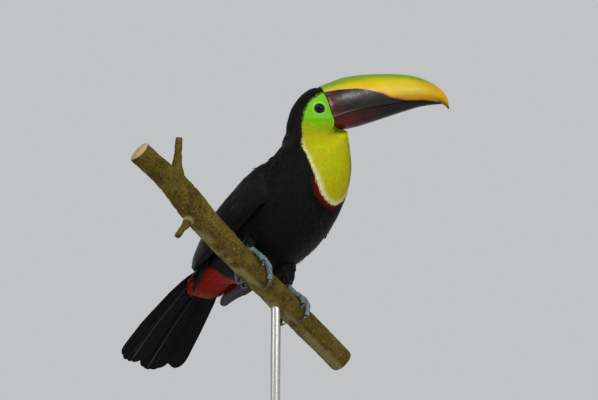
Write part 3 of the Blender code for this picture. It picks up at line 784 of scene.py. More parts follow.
def scatter(surface, u_range, v_range, count, seed, density=None, cells=90):
    """Evenly spread places on a surface, by its area times a density."""
    u_edges, v_edges = (np.linspace(*span, cells + 1) for span in (u_range, v_range))
    u, v = pairs(*((edges[1:] + edges[:-1]) / 2 for edges in (u_edges, v_edges)))
    du, dv, _ = frames(surface, u.ravel(), v.ravel())
    weight = np.linalg.norm(np.cross(du, dv), axis=1)
    if density is not None:
        weight = weight * density(u.ravel(), v.ravel())
    weight = weight.reshape(cells, cells) + 1e-15
    rows = np.concatenate([[0], np.cumsum(weight.sum(1))]) / weight.sum()
    k = np.arange(count)
    uneven = np.random.default_rng(seed).uniform(-0.002, 0.002, count)
    a = (0.5 + k * EVEN_STEPS[0]) % 1
    b = (0.5 + k * EVEN_STEPS[1] + uneven) % 1
    place = np.interp(a, rows, np.arange(cells + 1))
    columns = np.concatenate([np.zeros((cells, 1)), np.cumsum(weight, 1)], 1)
    chosen = (columns / columns[:, -1:])[np.minimum(place.astype(int), cells - 1)]
    at = np.clip((chosen <= b[:, None]).sum(1) - 1, 0, cells - 1)
    low, high = chosen[k, at], chosen[k, at + 1]
    share = (at + (b - low) / np.maximum(high - low, 1e-12)) / cells
    first, last = v_edges[[0, -1]]
    return np.interp(place, np.arange(cells + 1), u_edges), first + share * (last - first)


def vanes(surface, u, v, kind, length, width, rise, colours, seed, depth, way=None, spread=10,
          tone=0.35, cup=0.12, vary=0.07, even=0.45):
    """Points, triangles, colours and unwrap of thin vanes rooted in a surface and lying along it.

    length, width and rise are in metres, one number or one for each vane; rise is how far the
    tips stand above the roots. way is the direction of all vanes, which else follow the body's
    lie, and spread is how far a vane strays from it, in degrees. colours is an array, or a
    function of the place on the surface that the tip lies over.
    """
    t, x, w, faces = kind
    rng = np.random.default_rng(seed)
    count = len(u)
    root = surface(u, v, depth)
    du, dv, normal = frames(surface, u, v)
    run = lie(root) if way is None else way
    run = unit(run - normal * dot(run, normal)[:, None])
    turn = np.radians(rng.normal(0, spread, count))[:, None]
    run = run * np.cos(turn) + np.cross(normal, run) * np.sin(turn)
    near, limit = 3 * MM, 0.6
    a, b, c = dot(du, du), dot(du, dv), dot(dv, dv)
    p, q = dot(du, run) * near, dot(dv, run) * near
    det = np.maximum(a * c - b * b, 1e-12)
    step_u = np.clip((c * p - b * q) / det, -limit, limit)
    step_v = np.clip((a * q - b * p) / det, -limit, limit)
    ahead = frames(surface, u + step_u, v + step_v)[2]
    curve = np.clip(dot(ahead - normal, run) / near, -40, 90)[:, None]
    length = length * rng.uniform(0.8, 1.2, count)
    if callable(colours):
        reach = 0.75 * length / near
        colours = colours(u + step_u * reach, v + step_v * reach)
    width = (width * rng.uniform(0.85, 1.15, count) / 2)[:, None]
    rise = (rise * rng.uniform(1 - even, 1 + even / 2, count))[:, None]
    sway = (rng.normal(0, 0.06, count) * length)[:, None]
    along = length[:, None] * t
    across = width * w * x + sway * t**2
    up = rise * (1 - (1 - t) ** 1.7) - curve * along**2 / 2
    up = up - cup * np.abs(x) * width * w - 0.12 * MM * (t == 0)
    points = root[:, None] + run[:, None] * along[..., None]
    points = points + np.cross(normal, run)[:, None] * across[..., None] + normal[:, None] * up[..., None]
    shade = (1 - tone) + tone * t + rng.normal(0, vary, count)[:, None]
    shaded = colours[:, None] * np.clip(shade, 0.25, 1.4)[..., None]
    patch = 0.0015
    uv = np.stack([x * patch + 0 * along, (t - 0.5) * 2 * patch + 0 * along], -1)
    index = (faces[None] + (np.arange(count) * len(t))[:, None, None]).reshape(-1, 3)
    return points.reshape(-1, 3), index, shaded.reshape(-1, 3), uv


def coat(name, material, layers):
    """One piece from layers of vanes, each a tuple of vanes and its roots on the unwrap."""
    points, faces = joined([made[:2] for made, _ in layers])
    colours = np.concatenate([made[2] for made, _ in layers])
    uv = np.concatenate([(made[3] + roots[:, None]).reshape(-1, 2) for made, roots in layers])
    return finish(build(name, points, faces, uv=np.clip(uv, 0, 1), coat=colours), material)


def coat_material(name, roughness, sheen, specular, streak, colour):
    m = Shader(name, roughness, Sheen_Weight=sheen, Sheen_Roughness=0.4, Specular_IOR_Level=specular)
    m.colour = m.read("coat", "Color")
    m.paint(m.grain(1500, 2).step(0.3, 0.8) * streak, colour, "MULTIPLY")
    return m.done()


def shape_of(obj):
    """A piece's surface, to find the nearest or facing place on it."""
    faces = [tuple(p.vertices) for p in obj.data.polygons]
    return BVHTree.FromPolygons(mesh_points(obj.data).tolist(), faces)


def body_places(skin_shape, rows, count, seed, density=None):
    """Feathered places on the body that no wing, thigh or bill covers, and the skin's depth there."""
    s, a = scatter(body_at, rows, (-math.pi, math.pi), count, seed, density)
    s = np.clip(s, 0.06, BODY.last - 0.06)
    outline = body_at(s, a)
    depth = skin_depth(s, a, outline)
    points = body_at(s, a, depth)
    forward, _, up = head_axes(points)
    keep = bareness(s, a, outline) < np.random.default_rng(seed).uniform(0.55, 0.97, len(s))
    keep &= ~((up > CHIN - 1 * MM) & (forward > bill_base(up) - 0.6 * MM) & (s > NECK_ROW))
    keep &= [skin_shape.find_nearest(Vector(p))[3] <= 1.2 * MM for p in points]
    return s[keep], a[keep], depth[keep]


def body_layer(places, kind, length, width, seed, proud=0.1, **more):
    """A layer of vanes on the body; proud is how far tips stand over the outline, in mm."""
    s, a, depth = places
    ragged = np.random.default_rng(seed).normal(0, 0.7 * MM, len(s))

    def colours(step, angle):
        step = np.clip(step, 0.02, BODY.last - 0.02)
        return plumage(step, angle, body_at(step, angle), ragged)

    size = np.interp(s, (0, 2, 4, 9, 12, 13.5, 20), (0.28, 0.75, 1.15, 1.0, 0.72, 0.5, 0.4)) * MM
    off, tail = np.abs(a), smooth(4, 2.5, s)
    side = smooth(1.0, 1.5, off) * smooth(2.4, 1.9, off) * tail
    below = smooth(1.3, 0.8, off) * tail * smooth(0.7, 1.7, s)
    rise = depth + (proud + 4.5 * side - 2.4 * below) * MM
    made = vanes(body_at, s, a, kind, length * size, width * size, rise, colours, seed, depth, **more)
    return made, np.stack([0.5 + a / math.tau * 0.96, 0.02 + s / BODY.last * 0.96], -1)


def is_bib(step, angle):
    return (bib_distance(step, angle) > -RED_WIDTH[1][1] * MM * (step < 9.7)) * 1.0


def not_bib(step, angle):
    return 1.0 - is_bib(step, angle)


# Name, slot, first and last row, how many vanes, their length and width in mm, barbs to a vane.
REGIONS = (
    ("coat_rump", "plumage_black", (3.2, 7.2), 6200, 15, 4.6, 2.6),
    ("coat_breast", "plumage_black", (7.0, 10.6), 8000, 14, 4.4, 2.6),
    ("coat_nape", "plumage_black", (10.4, 14.0), 7600, 12, 3.2, 2.6),
    ("coat_crown", "plumage_black", (13.8, 19.9), 6400, 12, 2.6, 3.12),
    ("coat_bib", "bib_yellow", (8.6, 11.4), 7600, 9.5, 1.45, 3.6),
    ("coat_throat", "bib_yellow", (11.4, 16.5), 7600, 8.0, 1.5, 3.6),
    ("coat_tail_coverts", "coverts_red", (0.1, 5.0), 4200, 15, 3.6, 2.6),
)


def make_body_coat(skin):
    shape = shape_of(skin)
    black = coat_material("plumage_black", 0.5, 0.01, 0.08, 0.8, (0.4, 0.4, 0.4))
    bib = coat_material("plumage_bib", 0.62, 0.03, 0.06, 0.5, (0.88, 0.80, 0.4))
    coverts = coat_material("plumage_coverts", 0.6, 0.03, 0.06, 0.8, (0.5, 0.6, 0.6))
    looks = {
        "plumage_black": (black, not_bib), "bib_yellow": (bib, is_bib), "coverts_red": (coverts, None),
    }
    for index, (name, slot, rows, count, length, width, barbs) in enumerate(REGIONS):
        material, density = looks[slot]
        seed = 100 + index * 10
        groups = [
            body_places(shape, rows, count, seed, density),
            body_places(shape, rows, int(count * barbs), seed + 1, density),
        ]
        if name in ("coat_rump", "coat_tail_coverts"):
            for k, places in enumerate(groups):
                behind = behind_vent(body_at(*places[:2])) > -1.0 * MM
                keep = behind == (slot == "coverts_red")
                groups[k] = tuple(part[keep] for part in places)
        bright = slot == "bib_yellow"
        tone, vary, even, proud = (0.1, 0.03, 0.2, 0.25) if bright else (0.35, 0.08, 0.45, 0.3)
        more = {"tone": tone, "vary": vary, "even": even}
        barb = {**more, "proud": proud, "spread": 12, "cup": 0}
        coat(name, material, [
            body_layer(groups[0], VANE, length, width, seed + 2, **more),
            body_layer(groups[1], BARB, length * 0.8, 0.6, seed + 3, **barb),
        ])
    return black


def make_thigh_coats(black):
    for name in SIDES:
        surface = thigh_at(name)
        cuff, hip = thigh_line(name)
        layers = []
        for kind, count, length, width, seed in ((VANE, 1500, 11, 3.0, 31), (BARB, 5200, 10, 0.6, 32)):
            u, v = scatter(surface, (0.02, 0.9), (0, math.tau), count, seed)
            pale = smooth(0.22, 0.0, u + np.random.default_rng(seed).normal(0, 0.05, len(u)))
            made = vanes(
                surface, u, v, kind, length * MM, width * MM, 1.9 * MM, mix(BLACK, DOWN, pale[:, None]),
                seed, 1.8 * MM, way=unit(cuff - hip), spread=12,
            )
            layers.append((made, np.stack([v / math.tau * 0.96 + 0.02, u * 0.9 + 0.05], -1)))
        coat(f"coat_thigh_{name}", black, layers)


# ---------------------------------------------------------------- flight feathers
# Columns of a large feather's sheet, closer together at its shaft.
FEATHER_COLUMNS = (-1, -0.82, -0.6, -0.38, -0.18, -0.05, 0.0, 0.05, 0.18, 0.38, 0.6, 0.82, 1)


def feathers(name, material, paths, slot, replaces=(), along=26, pale=(), tints=0.3):
    """Large feathers as thin sheets with a raised shaft. Each path turns arrays of share along
    and share across into points, and gives its length and half width in metres."""
    half_way = along // 2
    share = [np.linspace(0, 0.8, half_way, endpoint=False), np.linspace(0.8, 1, along - half_way)]
    t, x = pairs(np.concatenate(share), FEATHER_COLUMNS)
    sheet = grid_faces(*t.shape, wrap=False)
    t, x = t.ravel(), x.ravel()
    rng = np.random.default_rng(len(paths) + 7)
    columns = math.ceil(math.sqrt(len(paths)))
    rows = []
    for k, (place, length, half) in enumerate(paths):
        cell = np.array((k % columns, k // columns)) / columns
        uv = cell + np.stack([x * 0.46 + 0.5, t * 0.92 + 0.04], -1) / columns
        tint = 1.0 if k in pale else rng.uniform(0.0, tints)
        rows.append((uv, x, (t * length - np.abs(x) * half * 1.3) / MM, np.full(t.size, tint)))
    uv, across, barb, tint = (np.concatenate(column) for column in zip(*rows))
    points, faces = joined([(place(t, x), sheet) for place, *_ in paths])
    made = build(name, points, faces, uv=uv, across=across, barb=barb, tint=tint)
    thicken(made, 0.22 * MM)
    return finish(made, material, replaces)


def vane_outline(t, blunt=0.8, root=0.1, point=0.55):
    """Share of the half width at a share along a feather; its tip is rounder where point is small."""
    rise = np.clip(t / root, 0, 1) ** 0.7
    past = np.clip((t - blunt) / (1 - blunt), 0, 1)
    return rise * (1 - past**2.4) ** point


BARB_PITCH = 0.9  # mm from one barb line of a flight feather to the next
# Colours of the shaft, edge and middle of large feathers, and their shine.
FLIGHT = {
    "flight_black": ((0.05, 0.042, 0.034), (0.008, 0.006, 0.005), (0.0036, 0.0036, 0.0042), 0.08),
    # a lighter grey copy of the black for the left wing's primaries: its pale middle is painted sheen,
    # with darker edges
    "flight_painted_sheen": ((0.085, 0.075, 0.08), (0.022, 0.02, 0.022), (0.034, 0.031, 0.036), 0.4),
    "tail_black": ((0.07, 0.062, 0.055), (0.0034, 0.0032, 0.003), (0.0026, 0.0026, 0.003), 0.04),
}


def flight_material(name):
    shaft, edge, middle, specular = FLIGHT[name]
    m = Shader(name, 0.4, Specular_IOR_Level=specular)
    across = abs(m.read("across"))
    lines = m.maths("SINE", m.read("barb") * (math.tau / BARB_PITCH))
    rim = (across + m.grain(500, 3) * 0.3).step(0.95, 1.15)
    m.colour = m.blend(rim * 0.8, middle, edge)
    m.paint(lines.step(0.4, 1.0) * 0.18, edge)
    m.paint(across.step(0.075, 0.035) * m.read("tint"), shaft)
    return m.done(lines * 0.15 + across.step(0.1, 0.02) * 2.0, 0.00012, 0.5)


def wing_feather(rows, side, start, end, half, base, lift=0.5, blunt=0.8, point=0.55):
    """A feather on a wing's outer face from start to end, each a row number and a height on it.

    half is its half width, base how far its root lies over the face and lift how much more its
    tip does, all in mm.
    """
    first, last = (blade_centre(rows, side, np.float64(at[0])) for at in (start, end))
    length = float(np.linalg.norm(last - first))

    def place(t, x):
        step = start[0] + (end[0] - start[0]) * t
        centre, _, tall, out, high, thick = blade_axes(rows, side, step)
        height = (start[1] + (end[1] - start[1]) * t) * high
        height = height + x * half * MM * vane_outline(t, blunt, point=point)
        bulge = np.sqrt(np.maximum(0, 1 - np.minimum(1, (height / high) ** 2)))
        shaft = 0.25 * (1 - smooth(0.03, 0.12, np.abs(x)))
        over = (base + lift * t + shaft - 0.5 * x**2) * MM
        if rows is WING:
            over = over - wing_sink(step, height / high)
        return centre + tall * height[:, None] + out * (bulge * thick + over)[:, None]

    return place, length, half * MM


# Rows of large wing feathers: how many, row number and height of the first and last feather's
# root, the same for their tips, half width and height over the face, in mm.
WING_GROUPS = (
    (9, (2.0, -0.72), (1.6, 0.62), (6.0, -0.60), (4.9, 0.64), 8.5, -1.2),
    (10, (1.7, -0.80), (1.6, 0.72), (4.0, -0.76), (3.4, 0.72), 5.6, -0.4),
    (11, (1.2, -0.82), (1.2, 0.76), (2.9, -0.78), (2.6, 0.74), 4.4, 0.3),
)


def crossing_primary(rank):
    """One of the longest feathers of the right wing, which crosses the side of the tail coverts."""
    girth, half = 27 * MM, 6.2 * MM

    def place(t, x):
        step = 6.2 + (rank - 5.55) * t
        spread = x * half / girth * vane_outline(t, 0.45, point=1.1)
        over = (3.4 + 0.7 * rank + 0.3 * (1 - x**2)) * MM
        return body_at(step, np.radians(-112 + (68 - 5 * rank) * t) - spread, -over)

    return place, (94 - 14 * rank) * MM, half


# Small feathers of a wing: kind, how many, length and width in mm, first and last row, how high
# up and down the wing they go, rise in mm and seed.
WING_COAT = (
    (VANE, 1900, 12, 5.2, (0.75, 2.3), 0.93, 1.9, 41),
    (BARB, 9000, 10, 0.6, (0.75, 4.2), 0.9, 1.6, 42),
    (BARB, 80, 22, 0.5, (1.2, 4.4), 0.62, 0.9, 43),
)
WING_LIE = unit(np.array((0, 0.86, -0.5)))


def make_wings(black):
    # the left wing's primaries take the copy whose lighter colour is painted sheen
    flight, painted_sheen = flight_material("flight_black"), flight_material("flight_painted_sheen")
    for name, side in SIDES.items():
        make_primaries(name, side, painted_sheen if name == "left" else flight)
        make_wing_feathers(name, side, flight)
        make_wing_coat(name, side, black)


def make_primaries(name, side, material):
    shape = (2.5, 0.5, 1.0) if name == "right" else (0.2, 0.78, 0.6)  # lift, blunt and point
    paths = []
    for k in range(6):
        start, end = (0.0, 0.45 - 0.19 * k), (4.0 - 0.34 * k, 0.1 - 0.12 * k)
        paths.append(wing_feather(PRIMARIES, side, start, end, 6.5, 0.1 + 0.22 * (5 - k), *shape))
    if name == "right":
        paths.extend(crossing_primary(rank) for rank in (1, 0))
    feathers(f"primary_feathers_{name}", material, paths, "plumage_black", (f"primaries_{name}",))


def make_wing_feathers(name, side, material):
    paths = []
    for count, start, start_last, end, end_last, half, base in WING_GROUPS:
        for k in range(count):
            share = k / (count - 1)
            root = mix(np.array(start), np.array(start_last), share)
            tip = mix(np.array(end), np.array(end_last), share)
            paths.append(wing_feather(WING, side, root, tip, half, base + 0.3 * (k % 3), 0.7))
    looks = {"along": 20, "pale": (4, 6), "tints": 0.15}
    feathers(f"wing_feathers_{name}", material, paths, "plumage_black", **looks)


def make_wing_coat(name, side, black):
    surface = wing_at(side)
    layers = []
    for kind, count, length, width, rows, tall, rise, seed in WING_COAT:
        thinning = lambda step, height: smooth(rows[1] + 0.2, rows[1] * 0.4, step)
        u, v = scatter(surface, rows, (-tall, tall), count, seed, thinning)
        colours = np.tile(BLACK * 0.8 if length < 20 else DOWN * 0.7, (len(u), 1))
        under = np.interp(u, (0.5, 1.4, 3.6), (0.8, 0.1, -0.2)) * MM
        stand = rise * MM * (0.3 + 0.7 * smooth(0.8, 1.7, u)) * (1 - 0.5 * smooth(0.5, 0.9, v))
        made = vanes(
            surface, u, v, kind, length * MM, width * MM, stand, colours, seed, under,
            way=WING_LIE, spread=9, vary=0.12,
        )
        layers.append((made, np.stack([u / 6.4 + 0.02, v * 0.47 + 0.5], -1)))
    coat(f"coat_wing_{name}", black, layers)


def tail_place(centre, length, up, half, tilt):
    """A tail feather: its place across the fan, its length, and how far it lies above the middle."""
    reaches, halves, swings = (np.array(c) for c in zip(*TAIL_SPREAD))

    def place(t, x):
        along = (-10 + (length + 10) * t)
        spread = np.interp(along, reaches, halves)
        swing = np.interp(along, reaches, swings)
        wide = half * spread * vane_outline(t, 0.86, 0.3)
        across = centre * spread + swing + x * wide
        share = along / 160
        crown = 2.5 * (1 - (across / np.maximum(spread, 1)) ** 2) * share
        shaft = 0.3 * (1 - smooth(0.02, 0.09, np.abs(x)))
        rise = crown + up * (1 - 0.35 * share) + tilt * x + 0.25 * (1 - x**2)
        offset = TAIL_BACK * (along * MM)[:, None] + X * (across * MM)[:, None]
        return TAIL_ROOT + offset + TAIL_UP * ((rise - shaft) * MM)[:, None]

    return place, length * MM, half * 45 * MM


def make_tail():
    paths = []
    for centre, length in TAIL_TIPS:
        up = 1.2 - 2.6 * abs(centre) ** 0.8
        paths.append(tail_place(centre, length, up, 0.25, -0.35 * np.sign(centre)))
    looks = {"along": 56, "pale": (2, 5), "tints": 0.05}
    feathers("tail_feathers", flight_material("tail_black"), paths, "plumage_black", ("tail",), **looks)


# ---------------------------------------------------------------- bill
# Upper border of the dark wedge on the upper half of the bill, ahead of and above the head's centre.
WEDGE = ((0, 20.6), (8, 21.7), (26, 24.4), (48, 25.8), (59, 25), (70, 22.9), (81, 19.8), (91.5, 15),
         (103, 13), (114, 12), (136, 12.6), (148, 11.2), (176, 4))


def bill_half(name, edge, ridge, widths, squareness, material):
    """One half of the bill: a fine arch over its cutting edge, rolled in where it meets the head."""
    table = Rows([(*e, *r, w) for e, r, w in zip(edge, ridge, widths)])
    root = 0.1  # along this share of its length it goes over into the head
    share = [np.linspace(0, root, 26, endpoint=False), np.linspace(root, 1, 230)]
    share = np.concatenate(share)[:, None]
    edge_f, edge_u, ridge_f, ridge_u, width = table.at(np.interp(share, BILL_STEPS, np.arange(11)))
    turn = np.concatenate([np.linspace(0, math.pi, 73), np.linspace(math.pi, math.tau, 16)[1:-1]])
    arch = turn <= math.pi
    across = np.sign(np.cos(turn)) * np.abs(np.cos(turn)) ** squareness * width
    rise = np.where(arch, np.abs(np.sin(turn)) ** squareness, 0)
    hollow = np.where(arch, 0, np.sin(turn))  # the biting face is drawn in a little from the edges
    inward = np.sign(ridge_u - edge_u)
    is_lower = inward[0, 0] < 0
    forward = edge_f + (ridge_f - edge_f) * rise
    up = edge_u + (ridge_u - edge_u) * rise
    up = up + np.where(inward > 0, 0.5, 0.9) * np.abs(hollow) ** 0.5
    near = np.clip(1 - share / root, 0, 1) ** 1.5
    forward = forward + (np.interp(up, *BILL_BASE) - forward) * near
    rim = forward - np.interp(up, *BILL_BASE)
    proud = 0.75 * np.exp(-(((share - 0.018) / 0.02) ** 2)) * arch
    sunk = -1.6 * np.clip(1 - share / 0.006, 0, 1)
    swell = 1 + (proud + sunk) / np.maximum(np.hypot(across, up - edge_u), 1)
    across, up = across * swell, edge_u + (up - edge_u) * swell
    snug = np.minimum(0.75 if is_lower else -0.2, np.abs(across) * 0.2)
    across = across + np.sign(across) * (np.exp(-((rise / 0.1) ** 2)) * arch) * snug
    teeth = np.abs((share * 44) % 1 - 0.5) * 2
    teeth = teeth * smooth(0.2, 0.35, share) * smooth(1.0, 0.93, share)
    up = up + 0.3 * teeth * (np.exp(-((rise / 0.06) ** 2)) * arch) * inward
    points = in_head(forward * MM, across * MM, up * MM)
    flat = points.reshape(-1, 3)
    uneven = 0.05 * noise(flat, 30 * MM, 8) + 0.012 * noise(flat, 7 * MM, 9)
    ahead = forward.ravel()
    growth = 0.02 * np.sin(ahead * 1.3 + 4 * noise(flat, 30 * MM, 4)) * smooth(30, 70, ahead)
    relief = (uneven + growth).reshape(forward.shape) * smooth(0, 0.05, share) * MM
    outward = unit(points - in_head(edge_f * MM, 0 * edge_f, (edge_u + ridge_u) / 2 * MM))
    lofted, quads, caps = capped(points + outward * relief[..., None])

    def everywhere(values):
        return with_ends(np.broadcast_to(values, forward.shape))

    uv = np.stack([everywhere(share) * 0.96 + 0.02, everywhere(turn / math.tau) * 0.94 + 0.03], -1)
    wedge = up - np.interp(forward, *np.array(WEDGE).T)
    data = {"ahead": forward, "wedge": wedge, "rim": rim, "rise": rise, "turn": turn}
    data = {key: everywhere(values) for key, values in data.items()}
    made = build(name, lofted, quads, caps, uv=uv, **data)
    made.data.set_sharp_from_angle(angle=math.radians(48))
    return finish(made, material, (name.replace("_horn", ""),))


def bill_shader(name):
    """A material for horn, and the streaks and fibres that run along it."""
    m = Shader(name, 0.3, Coat_Weight=0.04, Coat_Roughness=0.15, Specular_IOR_Level=0.18)
    scales = (("X", "ahead", 0.02), ("Y", "rise", 3.0), ("Z", "turn", 0.6))
    along = m.node("CombineXYZ", {axis: m.read(key) * scale for axis, key, scale in scales})
    return m, m.grain(3.0, 6, 0.6, vector=along), m.grain(14.0, 3, 0.7, vector=along)


def bill_done(m, rise, height):
    """The finished horn, which is worn dull along its cutting edge."""
    worn = rise.step(0.12, 0.03) * 0.45
    return m.done(height, 0.00012, 0.35, roughness=worn + (0.17 + m.grain(260, 4) * 0.18))


def bill_upper_material():
    m, streak, fibre = bill_shader("bill_upper")
    ahead, wedge, rise, rim = (m.read(key) for key in ("ahead", "wedge", "rise", "rim"))
    m.colour = m.blend(m.grain(45, 3).step(0.3, 0.7), (0.50, 0.39, 0.002), (0.57, 0.43, 0.003))
    green = (rise + streak * 0.12).step(0.74, 1.0) * ahead.step(174, 130)
    m.paint(green * 0.95, (0.115, 0.225, 0.001))
    gold = wedge.step(11, 0) * ahead.step(20, 75)
    m.paint(gold * 0.7, (0.64, 0.29, 0.003))
    m.paint(ahead.step(125, 168) * 0.6, (0.58, 0.31, 0.003))
    # painted shade: the lower part of the yellow ahead of 84 mm is darkened towards a browner gold
    shade = rise.step(0.42, 0.1) * ahead.step(84, 100)
    m.paint(shade * 0.9, (0.60, 0.48, 0.3), "MULTIPLY")
    m.paint(ahead.step(118, 150), (0.86, 0.78, 0.6), "MULTIPLY")
    smudge = m.grain(120, 4).step(0.5, 0.72) * ahead.step(78, 92)
    smudge = smudge * (ahead.step(118, 100) * wedge.step(10, 2))
    m.paint(smudge * 0.75, (0.20, 0.07, 0.006))
    line = wedge + (fibre - 0.5) * 0.8
    edging = (line + m.grain(300, 3) * -3.0).step(1.0, -0.8) * ahead.step(68, 86)
    m.paint(edging * 0.8, (0.13, 0.05, 0.003))
    light = m.colour
    maroon = m.blend(streak.step(0.35, 0.7), (0.040, 0.003, 0.004), (0.075, 0.007, 0.009))
    m.colour = m.blend(ahead.step(14, 38), maroon, (0.010, 0.007, 0.007))
    pink = ahead.step(34, 17) * rim.step(1.5, 3.2) * (rim.step(9, 4) * streak.step(0.45, 0.7))
    m.paint(pink * 0.8, (0.32, 0.06, 0.07))
    m.paint(abs(line + 0.8).step(1.5, 0.5), (0.006, 0.005, 0.005))
    gape = abs(rise - 0.03).step(0.03, 0.01) * ahead.step(62, 22)
    m.paint(gape * 0.6, (0.20, 0.07, 0.065))
    m.colour = m.blend(line.step(0.45, -0.45), light, m.colour)
    m.paint((rim + fibre * 0.6).step(2.6, 1.8), (0.003, 0.003, 0.003))
    return bill_done(m, rise, fibre + m.grain(900, 2) * 0.4)


def bill_lower_material():
    m, streak, fibre = bill_shader("bill_lower")
    ahead, rise, rim = (m.read(key) for key in ("ahead", "rise", "rim"))
    red = m.blend(streak.step(0.3, 0.7), (0.065, 0.002, 0.002), (0.11, 0.004, 0.003))
    brown = m.blend(streak.step(0.3, 0.7), (0.016, 0.004, 0.003), (0.032, 0.008, 0.006))
    reach = ahead + (streak - 0.5) * 22
    m.colour = m.blend(reach.step(30, 56), red, brown)
    # painted shade: the upper part of the lower half, under the edge of the upper half, is darkened
    m.paint(rise.step(0.62, 0.15) * 0.65, (0.022, 0.004, 0.004))
    m.paint(reach.step(58, 92), (0.005, 0.0045, 0.0045))
    # painted highlight: a pale line along the keel of the lower half from 40 mm ahead
    ridge = rise.step(0.96, 0.995) * ahead.step(40, 60)
    m.paint(ridge * 0.35, (0.16, 0.14, 0.12))
    m.paint(rim.step(2.1, 1.4), (0.003, 0.003, 0.003))
    return bill_done(m, rise, fibre)


def make_bill():
    bill_half(
        "bill_upper_horn", UPPER_EDGE, CULMEN, UPPER_HALF_WIDTH, 0.82, bill_upper_material()
    )
    bill_half(
        "bill_lower_horn", LOWER_EDGE, GONYS, LOWER_HALF_WIDTH, 0.74, bill_lower_material()
    )


# ---------------------------------------------------------------- eyes
def eye_axes(side):
    """Centre and outward axis of an eye, and the head's forward and up axes to turn about it."""
    forward, across, up = EYE_CENTRE
    return in_head(forward * MM, side * across * MM, up * MM), side * HEAD_LEFT


# Lids: reach from the eye's axis, and how far they stand over the eye and skin there, in mm.
LID_PROFILE = (
    (4.9, -0.5), (5.05, 0.2), (5.3, 0.5), (5.7, 0.6), (6.1, 0.5), (6.5, 0.32), (6.7, 0.16),
    (7.1, 0.34), (7.6, 0.42), (8.0, 0.32), (8.4, 0.16), (8.9, 0.0), (9.4, -0.5),
)


def make_eyes(skin_shape):
    eye, lid = eye_material(), lid_material()
    for name, side in SIDES.items():
        centre, out = eye_axes(side)
        off, turn = pairs(np.radians(np.linspace(0.5, 179.5, 72)), full_turn(72))
        radius = EYE_RADIUS * (1 + 0.035 * np.exp(-((np.degrees(off) / 26) ** 2)))
        spokes = around(out, around(HEAD_FRONT, HEAD_UP, turn), off)
        points, quads, caps = capped(centre + spokes * radius[..., None])
        away = np.append(np.degrees(off), [0, 180])
        uv = np.stack([np.append(turn / math.tau, [0.5, 0.5]), away / 180], -1) * 0.96 + 0.02
        ball = build(f"eyeball_{name}", points, quads, caps, uv=uv, off=away)
        finish(ball, eye, (f"eye_{name}",))
        make_lids(name, side, skin_shape, lid)


def make_lids(name, side, skin_shape, material):
    """The ring of lids round an eye, over the ball on its inner side and over the face outside."""
    centre, out = eye_axes(side)
    reaches, rises = np.array(LID_PROFILE).T
    reach, turn = pairs(reaches, full_turn(120))
    oval = reach * (1 + 0.045 * np.cos(2 * turn)) + 0.12 * np.sin(turn * 17) * (reach > 6.6)
    places = centre + around(HEAD_FRONT, HEAD_UP, turn) * (oval * MM)[..., None]

    def height(place, r):
        hit = skin_shape.ray_cast(Vector(place + out * 20 * MM), Vector(-out))
        skin_height = (np.array(hit[0]) - place) @ out if hit[0] else 4 * MM
        ball_height = math.sqrt(max(EYE_RADIUS**2 - (min(r, 7.3) * MM) ** 2, 0))
        return mix(ball_height, skin_height, smooth(5.1, 6.6, r))

    lift = np.array([height(p, r) for p, r in zip(places.reshape(-1, 3), oval.ravel())])
    beads = 0.06 * np.sin(turn * 34) * (reach > 5.2) * (reach < 8.5)
    lift = lift.reshape(oval.shape) + (rises[:, None] + beads) * MM
    points = (places + out * lift[..., None]).reshape(-1, 3)
    uv = np.stack([turn / math.tau, (reach - 4.9) / 4.5], -1).reshape(-1, 2) * 0.96 + 0.02
    ring = build(f"lids_{name}", points, grid_faces(*reach.shape), uv=uv, off=reach.ravel())
    thicken(ring, 0.3 * MM, -side)
    finish(ring, material)


def eye_material():
    m = Shader("eye", 0.1, Coat_Weight=0.1, Coat_Roughness=0.02, Specular_IOR_Level=0.08)
    off = m.read("off")
    m.colour = m.blend(m.grain(700, 3).step(0.3, 0.7), (0.006, 0.003, 0.002), (0.012, 0.006, 0.004))
    m.paint(off.step(21, 19), (0.0008, 0.0008, 0.0008))
    m.paint(off.step(38, 44), (0.004, 0.004, 0.005))
    return m.done()


def lid_material():
    m = Shader("lids", 0.4, Subsurface_Weight=0.1, Subsurface_Scale=0.003)
    off = m.read("off")
    m.colour = m.blend(m.grain(600, 3).step(0.3, 0.7) * 0.5, (0.14, 0.50, 0.008), (0.21, 0.57, 0.025))
    m.paint(off.step(6.8, 6.3), (0.008, 0.010, 0.008))
    m.paint(off.step(8.2, 9.2), (0.12, 0.44, 0.004))
    return m.done(m.spots(1200), 0.0002, 0.5)


# ---------------------------------------------------------------- branch
PERCH_ROWS = (
    (-232, 6.5, 13), (-205, 8, 13.2), (-178, 8.6, 15), (-150, 5.4, 16.5), (-122, 2.4, 16.2),
    (-80, 0.5, 15.3), (-40, 0, 15.3), (0, 0, 15.3), (40, 0, 15.2), (80, -0.3, 15), (122, -0.8, 14.8),
)  # place along the branch, rise of its middle, radius, in mm
PERCH = Rows(PERCH_ROWS)
TWIGS = ((-176, -3, 8, 54, 6.5, 3.9), (-140, 218, 8, 46, 6, 3.4))
ACROSS_FRONT = np.array((0, -1.0, 0))


def perch_row(place):
    step = np.interp(place, [row[0] for row in PERCH_ROWS], np.arange(len(PERCH_ROWS)))
    _, rise, radius = PERCH.at(step)
    return rise * MM, radius * MM


def on_perch(along, angle, distance):
    """Points beside the branch: along it in mm, round it from its top, and out in metres."""
    along, angle, distance = np.broadcast_arrays(along, angle, distance)
    out = around(ACROSS_TOP, ACROSS_FRONT, angle)
    return PERCH_CENTRE + ALONG * (along * MM)[..., None] + out * distance[..., None]


